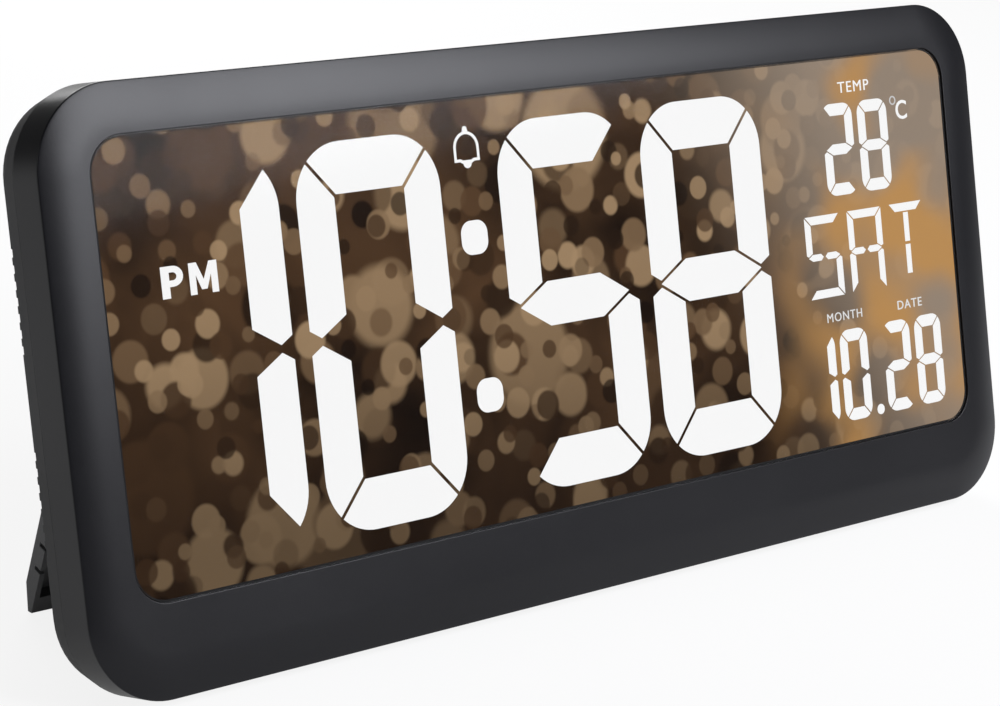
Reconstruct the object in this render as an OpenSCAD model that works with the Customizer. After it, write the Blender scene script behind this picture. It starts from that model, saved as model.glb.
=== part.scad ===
// Digital wall and desk clock, standing on its two fold-out legs and leaning back.
// Inside every module x runs to the viewer's right, y up the face and z back from the face.
// The module standing() turns that into the standing clock: +Z up, face towards -Y,
// origin in the middle of the strip of the rear cover that rests on the table.

/* [Window] */
// Width of the display window
window_w = 340; // [320:1:360]
// Height of the display window
window_h = 126; // [116:1:136]
// Corner radius of the window
window_corner_r = 10.5; // [6:0.5:16]
// Bezel width at the left and right
side_bezel = 15; // [14:0.5:24]
// Bezel width at the top
top_bezel = 14.4; // [14:0.1:24]
// Bezel width at the bottom
bottom_bezel = 26.6; // [25:0.1:36]

/* [Case] */
// Outer corner radius of the case
case_corner_r = 24.6; // [24:0.1:30]
// Depth of the front frame from the window edge to the seam
front_depth = 14; // [13.6:0.1:16.5]
// Depth of the rear cover behind the seam
rear_depth = 8.5; // [8.1:0.1:10.5]
// Width of the pillowed band along the outer edge
pillow_w = 13; // [10:0.1:13.4]
// How far the pillowed band falls back at the edge
pillow_drop = 2; // [1.6:0.1:2.8]
// Wall thickness of both mouldings
wall = 2.2; // [1.8:0.1:2.6]
// Lean of the standing clock, also the draft of the rear cover, in degrees
lean = 14.5; // [12:0.5:18]

/* [Lens and display stack] */
// Depth of the lens surface below the bezel
lens_recess = 0.1; // [0.1:0.1:0.6]
// Thickness of the lens
lens_t = 0.6; // [0.5:0.1:1.5]
// Thickness of the lens tape
tape_t = 0.2; // [0.2:0.05:0.3]
// Reach of the lens tape in from the edge of the window
tape_w = 0.8; // [0.6:0.1:1.2]
// Width of the ledge that carries the lens
ledge_w = 3; // [2:0.1:4]
// Thickness of the ledge
ledge_t = 1.5; // [1.2:0.1:1.6]
// Thickness of the lit segments
segment_t = 0.12; // [0.08:0.01:0.16]
// Thickness of the background film
film_t = 0.1; // [0.05:0.01:0.2]
// Thickness of one glass sheet of the display cell
glass_t = 1.1; // [0.7:0.1:1.4]
// Height of the contact ledge at the foot of the display cell
contact_h = 3; // [2:0.1:4]
// Thickness of the diffuser and of the reflector sheet
sheet_t = 0.3; // [0.2:0.05:0.5]
// Thickness of the light guide
guide_t = 3; // [2.5:0.1:3.5]
// Wall thickness of the backlight tray
tray_wall = 1.5; // [1.2:0.1:2]
// Space between the window opening and the wall of the tray
tray_margin = 3.5; // [3:0.1:4]

/* [Digits] */
// Width of a time digit
time_w = 52; // [46:0.5:53]
// Height of a time digit
time_h = 110.5; // [96:0.5:114]
// Width of an upright bar of a time digit
time_upright = 13.3; // [9:0.1:15]
// Width of the top and bottom bar of a time digit
time_cross = 14.8; // [9:0.1:16]
// Outer corner radius of a time digit
time_corner_r = 16.5; // [10:0.5:20]
// Gap between the bars of a time digit
time_gap = 1.1; // [0.6:0.1:1.6]
// Width of a temperature digit
temp_w = 14.2; // [11:0.1:14.6]
// Width of a date digit
date_w = 13; // [11:0.1:13.4]
// Height of a small digit
small_h = 29.8; // [24:0.1:30]
// Width of an upright bar of a small digit
small_upright = 3.6; // [2.5:0.1:4]
// Width of the top and bottom bar of a small digit
small_cross = 3.9; // [2.5:0.1:4.5]
// Outer corner radius of a small digit
small_corner_r = 4.3; // [3:0.1:5]
// Gap between the bars of a small digit
small_gap = 0.5; // [0.3:0.05:0.7]
// Width of a weekday letter
letter_w = 16.3; // [13:0.1:17]
// Height of a weekday letter
letter_h = 26.7; // [22:0.1:28]
// Width of the bars of a weekday letter
letter_bar = 2.7; // [2:0.1:3.2]
// Side of a colon dot
colon_size = 10; // [7:0.1:11]
// Stroke of the bell mark
bell_stroke = 0.85; // [0.5:0.05:1]

/* [Stand legs] */
// Width of a leg
leg_w = 44; // [36:0.5:50]
// Thickness of a leg
leg_t = 5.6; // [5:0.1:6]
// Distance from the case side to the leg
leg_inset = 29.5; // [29:0.5:36]
// Distance from the case top down to the leg pivot
pivot_drop = 45; // [40:0.5:50]
// Opening angle of a leg, in degrees
leg_open = 30.7; // [27:0.1:34]
// Wall thickness of the leg's rim
leg_rim = 1.8; // [1.4:0.1:2.4]
// Thickness of the leg's plate
leg_plate = 1.6; // [1.2:0.1:2]
// Radius of the hinge stubs
stub_r = 2; // [1.5:0.1:2.1]
// Running clearance of the stubs in their holes
stub_clear = 0.06; // [0.03:0.01:0.09]
// Side clearance of a leg in its recess
leg_clear = 0.5; // [0.4:0.05:0.8]

/* [Back of the case] */
// Radius of the round part of a wall keyhole
keyhole_r = 4.2; // [4:0.1:5]
// Width of the narrow part of a keyhole
keyhole_slot_w = 4.4; // [4:0.1:5]
// Length of the narrow part, from the centre of the round part
keyhole_slot_l = 9; // [8:0.1:10]
// Distance between the two keyholes
keyhole_spacing = 124; // [100:1:150]
// Distance from the case top down to the keyholes
keyhole_drop = 22; // [20:0.5:26]
// Width of a louvre groove
louvre_w = 2.2; // [1.6:0.1:2.6]
// Pitch of the louvre grooves
louvre_pitch = 4.35; // [4:0.05:4.6]
// Distance of a louvre group from the middle of the case height
louvre_offset = 27.4; // [24:0.1:32]
// Depth of the louvre grooves where they break the edge
louvre_groove = 0.9; // [0.5:0.1:1.4]

/* [Keys] */
// Length of a key cap
key_w = 10; // [8:0.1:11]
// Height of a key cap
key_h = 6; // [5:0.1:7]
// Distance between neighbouring keys
key_pitch = 15; // [14:0.1:18]
// Distance from the case top down to the keys
key_drop = 50; // [47:0.5:52]
// How far a key stands proud of the back
key_proud = 1; // [0.7:0.1:1.6]
// Travel of a key
key_travel = 0.6; // [0.3:0.05:0.7]
// Clearance around a key cap
key_clear = 0.3; // [0.25:0.05:0.4]

/* [Battery door and socket] */
// Width of the battery door
door_w = 34; // [32:0.5:38]
// Height of the battery door
door_h = 38; // [36:0.5:42]
// Thickness of the battery door
door_t = 1.6; // [1.2:0.1:1.8]
// Clearance around the battery door
door_clear = 0.3; // [0.2:0.05:0.4]
// Radius of the coin cell
cell_r = 10; // [8:0.1:10.2]
// Thickness of the coin cell
cell_t = 3.2; // [2.5:0.1:3.6]
// Inner width of the power socket
socket_w = 8.34; // [8.2:0.01:8.5]
// Inner height of the power socket
socket_h = 2.56; // [2.5:0.01:2.7]
// Wall of the socket shell
socket_wall = 0.3; // [0.25:0.05:0.4]

/* [Hidden] */
$fn = 64;
// Small overlap that joins solids of one piece, and overrun of cuts
join = 0.5;
over = 1;
// Clearance between seated pieces
fit_gap = 0.3;
thread_gap = 0.05;

// Case
case_w = window_w + 2 * side_bezel;
case_h = bottom_bezel + window_h + top_bezel;
back_z = front_depth + rear_depth;
back_in = back_z - wall;
draft = tan(lean);
pillow_r = (pillow_w * pillow_w + pillow_drop * pillow_drop) / (2 * pillow_drop);
pillow_back = pillow_drop + join;
window_y = bottom_bezel + window_h / 2;
strip_mid = front_depth * cos(lean) + rear_depth / (2 * cos(lean));
strip_lift = front_depth * sin(lean);

// Display stack, depth of each front surface
lens_back = lens_recess + lens_t;
film_z = lens_back + tape_t;
cell_z = film_z + film_t;
face_t = cell_z + ledge_t;
cell_back = cell_z + 2 * glass_t;
guide_z = cell_back + sheet_t;
reflector_z = guide_z + guide_t;
tray_z = reflector_z + sheet_t;
tray_back = tray_z + tray_wall;
opening_w = window_w - 2 * ledge_w;
opening_h = window_h - 2 * ledge_w;
opening_corner_r = window_corner_r - ledge_w;
tray_in_w = opening_w + 2 * tray_margin;
tray_in_h = opening_h + 2 * tray_margin;
tray_w = tray_in_w + 2 * tray_wall;
tray_h = tray_in_h + 2 * tray_wall;
tray_low = window_y - tray_h / 2;
tray_top = window_y + tray_h / 2;

// LED strips at the two ends of the light guide
strip_t = 1;
strip_l = 100;
chip_deep = 1.4;
chip_l = 5;
chip_count = 9;
strip_x = tray_in_w / 2 - thread_gap;
guide_w = 2 * (strip_x - strip_t - chip_deep - fit_gap);
guide_lap = 1;
guide_h = opening_h + 2 * guide_lap;
strip_inset = 0.1;
chip_inset = 0.3;
lead_w = 4;
lead_t = 0.4;
lead_slot = 1;

// Screws: [head radius, head height, shank radius]
case_screw = [2.7, 2, 1.4];
small_screw = [1.9, 1.3, 0.9];
boss_r = 3.2;
post_r = 4;
post_step = 2.5;
post_z = front_depth - post_step;
post_floor = 2;
post_side = 18.5;
post_edge = 8.4;
tray_boss_r = 2.6;
tray_ear = 4;
tray_ear_x = 100;
case_screw_places = [for (x = [-1, 0, 1], y = [post_edge, case_h - post_edge])
    [x * (case_w / 2 - post_side), y]];
tray_screw_places = [for (x = [-1, 1], y = [tray_low - tray_ear, tray_top + tray_ear])
    [x * tray_ear_x, y]];

// Tongue of the rear cover inside the front frame
tongue_t = 1.2;
tongue_l = 2;

// Legs
recess_gap = 0.6;
recess_floor = back_z - leg_t - recess_gap;
recess_wall = 2;
recess_w = leg_w + 2 * leg_clear;
sill_low = (rear_depth - wall + join) * draft + fit_gap;
pivot_y = case_h - pivot_drop;
pivot_z = back_z - leg_t / 2;
leg_x = case_w / 2 - leg_inset - leg_w / 2;
stop_gap = 0.2;
leg_heel = (pivot_z - recess_floor - stop_gap - leg_t / 2 * cos(leg_open)) / sin(leg_open);
heel_room = 2;
recess_top = pivot_y + leg_t / 2 + heel_room;
stub_end_gap = 0.2;
stub_l = recess_wall - stub_end_gap;
toe_flat = 1.9;
toe_back = 8;
leg_hollow_top = 8;
slot_w = 1.2;
slot_deep = 3;
slot_from_end = [15, 23.1];
// Distance down the leg, from its pivot, at which its line w off the pivot meets the table
function leg_reach(w) = (pivot_y * cos(lean) - (pivot_z - front_depth) * sin(lean)
    + w * sin(leg_open - lean)) / cos(leg_open - lean);
toe_w = toe_flat - leg_t / 2;
leg_l = leg_reach(toe_w);

// Main board and what stands on it
board_t = 1.6;
board_w = 178;
board_h = 60;
board_gap = 1.5;
board_rise = 7;
sensor_r = 1.7;
sensor_l = 4.2;
sensor_lead = 0.5;
sensor_pitch = 1.1;
sensor_room = 4.7;
board_right = leg_x - recess_w / 2 - recess_wall - sensor_room - 1.5 * sensor_l;
board_left = board_right - board_w;
board_x = board_right - board_w / 2;
board_z = tray_back + board_gap;
board_top = board_z + board_t;
board_low = tray_low + board_rise;
board_y = board_low + board_h / 2;
board_screw_in = 5;
board_screw_places = [for (x = [-1, 1], y = [-1, 1])
    [board_x + x * (board_w / 2 - board_screw_in), board_y + y * (board_h / 2 - board_screw_in)]];
chip_side = 12;
chip_t = 1.6;
chip_in = [0, 26];
chip_at = [chip_in[0], board_low + chip_in[1]];
crystal_in = [62, 40];
crystal_at = [board_left, board_low] + crystal_in;
crystal_w = 11;
crystal_h = 4.6;
crystal_tall = 3.5;
capacitor_in = [-48, 40];
capacitor_at = [board_right, board_low] + capacitor_in;
capacitor_r = 4;
capacitor_h = 5.5;
buzzer_in = [-76, 34];
buzzer_at = [board_right, board_low] + buzzer_in;
buzzer_r = 6;
buzzer_h = 5.5;
buzzer_hole_r = 1;
sensor_at = [board_right, board_y];
ribbon_w = 40;
ribbon_t = 0.3;
connector_side = 3;
connector_w = ribbon_w + 2 * connector_side;
connector_h = 5;
connector_tall = 2.4;
connector_in = 0.5;
connector_mouth = 0.8;
connector_play = 0.1;
ribbon_edge = 0.4;
ribbon_turn = 2;

// Battery compartment
cell_in = [30, 32];
cell_at = [board_left, board_low] + cell_in;
holder_rim = 2;
holder_side = 2 * (cell_r + holder_rim);
holder_floor = 1;
holder_wall = 0.4;
door_ledge = 2;
door_foot = 7.5;
door_y = cell_at[1] - door_foot / 2 + door_ledge / 2;
well_w = door_w - 2 * door_ledge;
well_low = door_y - door_h / 2 + door_foot;
well_h = door_y + door_h / 2 - door_ledge - well_low;
well_wall = 1.2;
door_pad = 1.6;
door_screw = [2.2, 0.7, 1.1];
door_screw_sink = 0.8;
door_screw_l = 6;
door_screw_y = door_y - door_h / 2 + door_foot / 2;
grip_count = 5;
grip_w = 14;
grip_line = 0.8;
grip_pitch = 2;
grip_drop = 8;

// Power socket
socket_in = [-18, 14];
socket_at = [board_right, board_low] + socket_in;
socket_sink = 0.4;
socket_depth = back_z - socket_sink - board_top;
tongue_w = 6.7;
tongue_h = 0.7;
tongue_back = 0.8;
socket_floor = 1;

// Keys and their board
key_names = ["key_mode", "key_set", "key_up", "key_down", "key_alarm", "key_light"];
key_y = case_h - key_drop;
key_xs = [for (i = [0 : len(key_names) - 1]) (i - (len(key_names) - 1) / 2) * key_pitch];
key_flange = 1;
key_flange_t = 1;
key_seat = 0.2;
key_low = back_in - key_seat - key_flange_t;
plunger_top = key_low - key_travel - fit_gap;
plunger_r = 1.7;
plunger_h = 0.6;
switch_side = 6;
switch_h = 3;
key_board_t = 1.2;
key_board_z = plunger_top - plunger_h - switch_h - key_board_t;
key_board_h = 16;
key_post_gap = 6.5;
key_board_edge = 5;
key_post_x = key_xs[len(key_xs) - 1] + key_w / 2 + key_post_gap;
key_board_w = 2 * (key_post_x + key_board_edge);
key_post_r = 2.6;
key_screw_l = 4;
key_cable_x = 34;
key_cable_w = 12;
key_cable_t = 0.3;
key_cable_lap = 6;
key_cable_tab = 1.5;
key_cable_end = 2;

// Louvres
louvre_count = 7;
louvre_out = 6;
louvre_l = 16;
sound_hole_r = 0.9;
sound_ring_r = 3.6;

// Places on the display, from the middle of the window
time_y = -0.65;
time_xs = [-135.5, -77.3, -3.1, 54.9];
time_text = [1, 0, 5, 8];
colon_at = [-40.2, -1.1];
colon_half = 23.2;
bell_at = [-40.1, 47.7];
bell_r = 4.8;
bell_waist = 0.6;
bell_foot = 3.4;
bell_knob_r = 0.9;
bell_knob_rise = 0.6;
clapper_r = 1.55;
clapper_drop = 0.4;
small_temp_y = 33.1;
small_temp_xs = [117.8, 134.6];
small_date_y = -40.5;
small_date_xs = [100.9, 116.4, 137.3, 152.9];
small_date_text = [1, 0, 2, 8];
date_dot_r = 1.7;
letter_y = -0.7;
letter_xs = [106.4, 126.6, 146.9];
// Lit bars of each numeral: top, upper right, lower right, bottom, lower left, upper left, middle
numeral_bars = [[1, 1, 1, 1, 1, 1, 0], [0, 1, 1, 0, 0, 0, 0], [1, 1, 0, 1, 1, 0, 1],
    [1, 1, 1, 1, 0, 0, 1], [0, 1, 1, 0, 0, 1, 1], [1, 0, 1, 1, 0, 1, 1],
    [1, 0, 1, 1, 1, 1, 1], [1, 1, 1, 0, 0, 0, 0], [1, 1, 1, 1, 1, 1, 1], [1, 1, 1, 1, 0, 1, 1]];
// Lit bars of the weekday letters, with the middle bar in two halves and the two centre bars last
letter_bars = [[1, 0, 1, 1, 0, 1, 1, 1, 0, 0], [1, 1, 1, 0, 1, 1, 1, 1, 0, 0],
    [1, 0, 0, 0, 0, 0, 0, 0, 1, 1]];

// Colours
charcoal = "#2c2c2e";
charcoal_rear = "#323235";
lit = "#f7f7f5";
board_green = "#1f5a3a";
steel = "#b9bcc0";

// Stands the clock on the table, leaning back on its legs
module standing() {
    translate([0, -strip_mid, strip_lift])
        rotate([-lean, 0, 0])
            rotate([90, 0, 0])
                mirror([0, 0, 1])
                    children();
}

// Rounded rectangle, centred
module rounded(w, h, r) {
    square([w - 2 * r, h], center = true);
    square([w, h - 2 * r], center = true);
    for (x = [-1, 1], y = [-1, 1])
        translate([x * (w / 2 - r), y * (h / 2 - r)])
            circle(r);
}

// Rounded slab between two depths, its middle at height y
module slab(w, h, r, y, z0, z1) {
    translate([0, y, z0])
        linear_extrude(z1 - z0)
            rounded(w, h, r);
}

// Plain block from corner to corner
module block(low, high) {
    translate(low)
        cube(high - low);
}

// Bar with round ends along x, centred
module stadium(w, h) {
    square([w - h, h], center = true);
    for (x = [-1, 1])
        translate([x * (w - h) / 2, 0])
            circle(h / 2);
}

// Round pin or hole along z
module pin(at, r, z0, z1) {
    translate([at[0], at[1], z0])
        cylinder(r = r, h = z1 - z0);
}

// Round pin or hole along x, centred on its place
module cross_pin(r, l) {
    rotate([0, 90, 0])
        cylinder(r = r, h = l, center = true);
}

// Screw driven from the back: its head seats at depth z
module screw(kind, at, z, l) {
    difference() {
        pin(at, kind[0], z, z + kind[1]);
        translate([at[0], at[1], z + kind[1] - kind[1] / 4])
            for (a = [0, 90])
                rotate(a)
                    cube([kind[0] * 1.2, kind[0] * 0.3, kind[1]], center = true);
    }
    pin(at, kind[2], z - l, z + kind[1] / 4);
}

// Section of the pillowed edge: x outwards from the flat face, y back
module edge_section() {
    intersection() {
        translate([0, pillow_r])
            circle(pillow_r);
        translate([-join, 0])
            square([pillow_w + join, pillow_back]);
    }
}

// Straight run of the pillowed edge along y, outwards along x
module edge_run(l) {
    rotate([90, 0, 0])
        linear_extrude(l, center = true)
            edge_section();
}

// Pillowed front of the frame, from the flat face back to the edge
module pillow() {
    flat_r = case_corner_r - pillow_w;
    long_run = case_w - 2 * case_corner_r;
    tall_run = case_h - 2 * case_corner_r;
    slab(case_w - 2 * pillow_w, case_h - 2 * pillow_w, flat_r, case_h / 2, 0, pillow_back);
    translate([0, case_h / 2, 0]) {
        for (a = [0, 180]) {
            rotate(a)
                translate([case_w / 2 - pillow_w, 0, 0])
                    edge_run(tall_run);
            rotate(a + 90)
                translate([case_h / 2 - pillow_w, 0, 0])
                    edge_run(long_run);
        }
        for (i = [0 : 3])
            translate([(i == 0 || i == 3 ? 1 : -1) * long_run / 2, (i < 2 ? 1 : -1) * tall_run / 2, 0])
                rotate(i * 90)
                    rotate_extrude(angle = 90) {
                        square([flat_r, pillow_back]);
                        translate([flat_r, 0])
                            edge_section();
                    }
    }
}

// Block with drafted sides from the seam back, inset from the case outline
module drafted(inset, depth) {
    w = case_w - 2 * inset;
    h = case_h - 2 * inset;
    r = case_corner_r - inset;
    in = depth * draft;
    translate([0, case_h / 2, front_depth]) {
        for (x = [-1, 1], y = [-1, 1])
            translate([x * (w / 2 - r), y * (h / 2 - r), 0])
                cylinder(r1 = r, r2 = r - in, h = depth);
        rotate([90, 0, 0])
            linear_extrude(h - 2 * r, center = true)
                polygon([[-w / 2, 0], [w / 2, 0], [w / 2 - in, depth], [-w / 2 + in, depth]]);
        rotate([90, 0, 90])
            linear_extrude(w - 2 * r, center = true)
                polygon([[-h / 2, 0], [h / 2, 0], [h / 2 - in, depth], [-h / 2 + in, depth]]);
    }
}

module front_frame() {
    standing() color(charcoal) difference() {
        union() {
            difference() {
                union() {
                    pillow();
                    slab(case_w, case_h, case_corner_r, case_h / 2, pillow_back, front_depth);
                }
                slab(case_w - 2 * wall, case_h - 2 * wall, case_corner_r - wall, case_h / 2,
                    face_t, front_depth + over);
            }
            for (p = case_screw_places)
                pin(p, boss_r, face_t - join, post_z);
            for (p = tray_screw_places)
                pin(p, tray_boss_r, face_t - join, tray_z);
        }
        slab(window_w, window_h, window_corner_r, window_y, -over, cell_z);
        slab(opening_w, opening_h, opening_corner_r, window_y, cell_z - join, face_t + over);
        for (p = case_screw_places)
            pin(p, case_screw[2] + thread_gap, face_t + wall, post_z + over);
        for (p = tray_screw_places)
            pin(p, small_screw[2] + thread_gap, face_t, tray_z + over);
    }
}

// Recess for one folded leg: the moulding around it
module recess_shell(side) {
    x0 = side * leg_x - recess_w / 2 - recess_wall;
    x1 = side * leg_x + recess_w / 2 + recess_wall;
    top = recess_top + recess_wall;
    block([x0, wall + fit_gap, recess_floor - recess_wall], [x1, top, back_in + join]);
    block([x0, sill_low, front_depth], [x1, sill_low + wall + join, back_in + join]);
}

// Recess for one folded leg: the hollow and the holes of the hinge stubs
module recess_hollow(side) {
    x0 = side * leg_x - recess_w / 2;
    x1 = side * leg_x + recess_w / 2;
    block([x0, -over, recess_floor], [x1, recess_top, back_z + over]);
    translate([side * leg_x, pivot_y, pivot_z])
        cross_pin(stub_r + stub_clear, recess_w + 2 * recess_wall + over);
}

// Louvre grooves and slots of one side
module louvres(side) {
    for (group = [-1, 1], i = [0 : louvre_count - 1]) {
        y = case_h / 2 + group * louvre_offset + (i - (louvre_count - 1) / 2) * louvre_pitch;
        translate([side * (case_w / 2 - louvre_out - louvre_l / 2), y, back_z])
            cube([louvre_l, louvre_w, 2 * wall + over], center = true);
        translate([side * (case_w / 2 - louvre_out), y, back_z])
            cube([2 * louvre_out + over, louvre_w, 2 * louvre_groove], center = true);
    }
}

// Keyhole that hangs the clock on a screw head
module keyhole(side) {
    at = [side * keyhole_spacing / 2, case_h - keyhole_drop];
    pin(at, keyhole_r, back_in - over, back_z + over);
    translate([at[0] - keyhole_slot_w / 2, at[1], back_in - over])
        cube([keyhole_slot_w, keyhole_slot_l, wall + 2 * over]);
    pin([at[0], at[1] + keyhole_slot_l], keyhole_slot_w / 2, back_in - over, back_z + over);
}

// Rectangle of the battery compartment between two depths, grown by g
module well(g, z0, z1) {
    block([cell_at[0] - well_w / 2 - g, well_low - g, z0],
        [cell_at[0] + well_w / 2 + g, well_low + well_h + g, z1]);
}

// Rectangle of the battery door between two depths, grown by g
module door_plate(g, z0, z1) {
    block([cell_at[0] - door_w / 2 - g, door_y - door_h / 2 - g, z0],
        [cell_at[0] + door_w / 2 + g, door_y + door_h / 2 + g, z1]);
}

// Round pin or hole at the door screw
module door_pin(r, z0, z1) {
    pin([cell_at[0], door_screw_y], r, z0, z1);
}

// Outline of the power socket, grown by g
module socket_outline(g) {
    stadium(socket_w + 2 * g, socket_h + 2 * g);
}

// Ring of the tongue, drawn in by s
module tongue_outline(s) {
    inset = wall + fit_gap / 2 + s;
    translate([0, case_h / 2])
        rounded(case_w - 2 * inset, case_h - 2 * inset, case_corner_r - inset);
}

module rear_cover() {
    standing() color(charcoal_rear) difference() {
        union() {
            difference() {
                drafted(0, rear_depth);
                drafted(wall, rear_depth - wall);
            }
            translate([0, 0, front_depth - tongue_l])
                linear_extrude(2 * tongue_l)
                    difference() {
                        tongue_outline(0);
                        tongue_outline(tongue_t);
                    }
            for (p = case_screw_places)
                pin(p, post_r, post_z, back_in + join);
            for (x = [-1, 1])
                pin([x * key_post_x, key_y], key_post_r, key_board_z + key_board_t, back_in + join);
            for (side = [-1, 1])
                recess_shell(side);
            well(well_wall, board_top + fit_gap, back_in + join);
            door_plate(door_ledge, back_in - door_pad, back_in + join);
            door_pin(post_r, back_z - door_t - door_screw_l, back_in + join);
        }
        for (p = case_screw_places) {
            pin(p, case_screw[0] + 2 * fit_gap, post_z + post_floor, back_z + over);
            pin(p, case_screw[2] + fit_gap, post_z - over, back_z);
        }
        for (x = [-1, 1])
            pin([x * key_post_x, key_y], small_screw[2] + thread_gap, key_board_z, back_in);
        for (side = [-1, 1]) {
            recess_hollow(side);
            louvres(side);
            keyhole(side);
        }
        well(0, board_top - over, back_z);
        door_plate(0, back_z - door_t, back_z + over);
        door_pin(door_screw[2] + fit_gap, back_z - door_t - door_screw_l - over, back_z);
        for (x = key_xs)
            translate([x, key_y, back_in - over])
                linear_extrude(wall + 2 * over)
                    stadium(key_w + 2 * key_clear, key_h + 2 * key_clear);
        translate([socket_at[0], socket_at[1], back_in - over])
            linear_extrude(wall + 2 * over)
                socket_outline(socket_wall + fit_gap);
        pin(buzzer_at, sound_hole_r, back_in - over, back_z + over);
        for (a = [0 : 60 : 300])
            pin(buzzer_at + sound_ring_r * [cos(a), sin(a)], sound_hole_r, back_in - over, back_z + over);
    }
}

module window_lens() {
    standing() color("#8fa0a8", 0.3)
        slab(window_w - fit_gap, window_h - fit_gap, window_corner_r - fit_gap / 2, window_y,
            lens_recess, lens_back);
}

module lens_tape() {
    standing() color("#1b1b1c") difference() {
        slab(window_w - 2 * fit_gap, window_h - 2 * fit_gap, window_corner_r - fit_gap, window_y,
            lens_back, film_z);
        slab(window_w - 2 * tape_w, window_h - 2 * tape_w, window_corner_r - tape_w, window_y,
            lens_back - over, film_z + over);
    }
}

// Lit plate between the lens and the film
module lit_plate() {
    translate([0, 0, (lens_back + film_z - segment_t) / 2])
        linear_extrude(segment_t)
            children();
}

// Corner points of one bar of a seven-bar digit; bars 0 to 6 as in numeral_bars
function bar_points(bar, w, h, upright, cross, gap) =
    let (
        x = w / 2,
        y = h / 2,
        xi = x - upright,
        yi = y - cross,
        slant = sqrt(upright * upright + cross * cross),
        ex = gap / 2 * slant / cross,
        ey = gap / 2 * slant / upright,
        node_in = 0.3 * upright,
        shoulder = 0.15 * upright,
        mid = 0.45 * cross,
        slope = mid / (upright + shoulder - node_in),
        up = [[-x, gap + slope * node_in], [-x + node_in, gap], [-xi, gap + slope * (upright - node_in)],
            [-xi, yi - ey], [-x, y - ey]]
    )
    bar == 0 ? [[-x + ex, y], [x - ex, y], [xi - ex, yi], [-xi + ex, yi]]
    : bar == 3 ? [[-x + ex, -y], [x - ex, -y], [xi - ex, -yi], [-xi + ex, -yi]]
    : bar == 6 ? [[-x + node_in, 0], [-xi + shoulder, mid], [xi - shoulder, mid], [x - node_in, 0],
        [xi - shoulder, -mid], [-xi + shoulder, -mid]]
    : let (sx = bar < 3 ? -1 : 1, sy = bar == 1 || bar == 5 ? 1 : -1)
        [for (p = up) [sx * p[0], sy * p[1]]];

// Seven-bar numeral, its middle at the origin
module numeral(n, w, h, upright, cross, corner_r, gap) {
    for (bar = [0 : 6])
        if (numeral_bars[n][bar] == 1)
            lit_plate()
                intersection() {
                    rounded(w, h, corner_r);
                    polygon(bar_points(bar, w, h, upright, cross, gap));
                }
}

module time_segments() {
    standing() color(lit)
        for (i = [0 : len(time_text) - 1])
            translate([time_xs[i], window_y + time_y, 0])
                numeral(time_text[i], time_w, time_h, time_upright, time_cross, time_corner_r, time_gap);
}

module colon_dots() {
    standing() color(lit)
        for (side = [-1, 1])
            translate([colon_at[0], window_y + colon_at[1] + side * colon_half, 0])
                lit_plate()
                    rounded(colon_size, colon_size, colon_size * 0.38);
}

module small_numeral(n, w) {
    numeral(n, w, small_h, small_upright, small_cross, small_corner_r, small_gap);
}

module temperature_segments() {
    standing() color(lit)
        for (i = [0, 1])
            translate([small_temp_xs[i], window_y + small_temp_y, 0])
                small_numeral([2, 8][i], temp_w);
}

module date_segments() {
    standing() color(lit) {
        for (i = [0 : len(small_date_text) - 1])
            translate([small_date_xs[i], window_y + small_date_y, 0])
                small_numeral(small_date_text[i], date_w);
        translate([(small_date_xs[1] + small_date_xs[2]) / 2,
            window_y + small_date_y - small_h / 2 + date_dot_r, 0])
            lit_plate()
                circle(date_dot_r);
    }
}

// Weekday letter of outer bars, two middle halves and two centre bars
module letter(bars) {
    half = [letter_w / 2, letter_h / 2];
    for (bar = [0 : 5])
        if (bars[bar] == 1)
            lit_plate()
                polygon(bar_points(bar, letter_w, letter_h, letter_bar, letter_bar, small_gap));
    for (side = [-1, 1])
        if (bars[side < 0 ? 6 : 7] == 1)
            lit_plate()
                polygon([for (p = [[half[0] - letter_bar * 0.3, 0], [half[0] - letter_bar, letter_bar * 0.4],
                    [letter_bar * 0.6, letter_bar * 0.4], [small_gap, 0],
                    [letter_bar * 0.6, -letter_bar * 0.4], [half[0] - letter_bar, -letter_bar * 0.4]])
                    [side * p[0], p[1]]]);
    for (side = [-1, 1])
        if (bars[side > 0 ? 8 : 9] == 1)
            lit_plate()
                translate([0, side * (half[1] - letter_bar) / 2])
                    square([letter_bar * 0.85, half[1] - letter_bar - 2 * small_gap], center = true);
}

module weekday_segments() {
    standing() color(lit)
        for (i = [0 : 2])
            translate([letter_xs[i], window_y + letter_y, 0])
                letter(letter_bars[i]);
}

// Filled outline of the bell, drawn in by s
module bell_outline(s) {
    translate([0, bell_waist])
        circle(bell_r - s);
    translate([s - bell_r, s - bell_foot])
        square([2 * (bell_r - s), bell_foot + bell_waist - s]);
}

module bell_mark() {
    standing() color(lit)
        translate([bell_at[0], window_y + bell_at[1], 0])
            lit_plate() {
                difference() {
                    union() {
                        bell_outline(0);
                        translate([0, bell_waist + bell_r + bell_knob_rise])
                            circle(bell_knob_r);
                        translate([-bell_knob_r, bell_waist + bell_r - bell_stroke])
                            square([2 * bell_knob_r, bell_stroke + bell_knob_rise]);
                    }
                    bell_outline(bell_stroke);
                }
                translate([-clapper_r, -bell_foot - clapper_drop])
                    square([2 * clapper_r, clapper_drop + bell_stroke / 2]);
                intersection() {
                    translate([0, -bell_foot - clapper_drop])
                        circle(clapper_r);
                    translate([-clapper_r, -bell_foot - clapper_drop - 2 * clapper_r])
                        square([2 * clapper_r, 2 * clapper_r + join]);
                }
            }
}

module background_film() {
    standing() color("#5e4a3a")
        slab(window_w - 2 * fit_gap, window_h - 2 * fit_gap, window_corner_r - fit_gap, window_y,
            film_z, cell_z);
}

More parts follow.
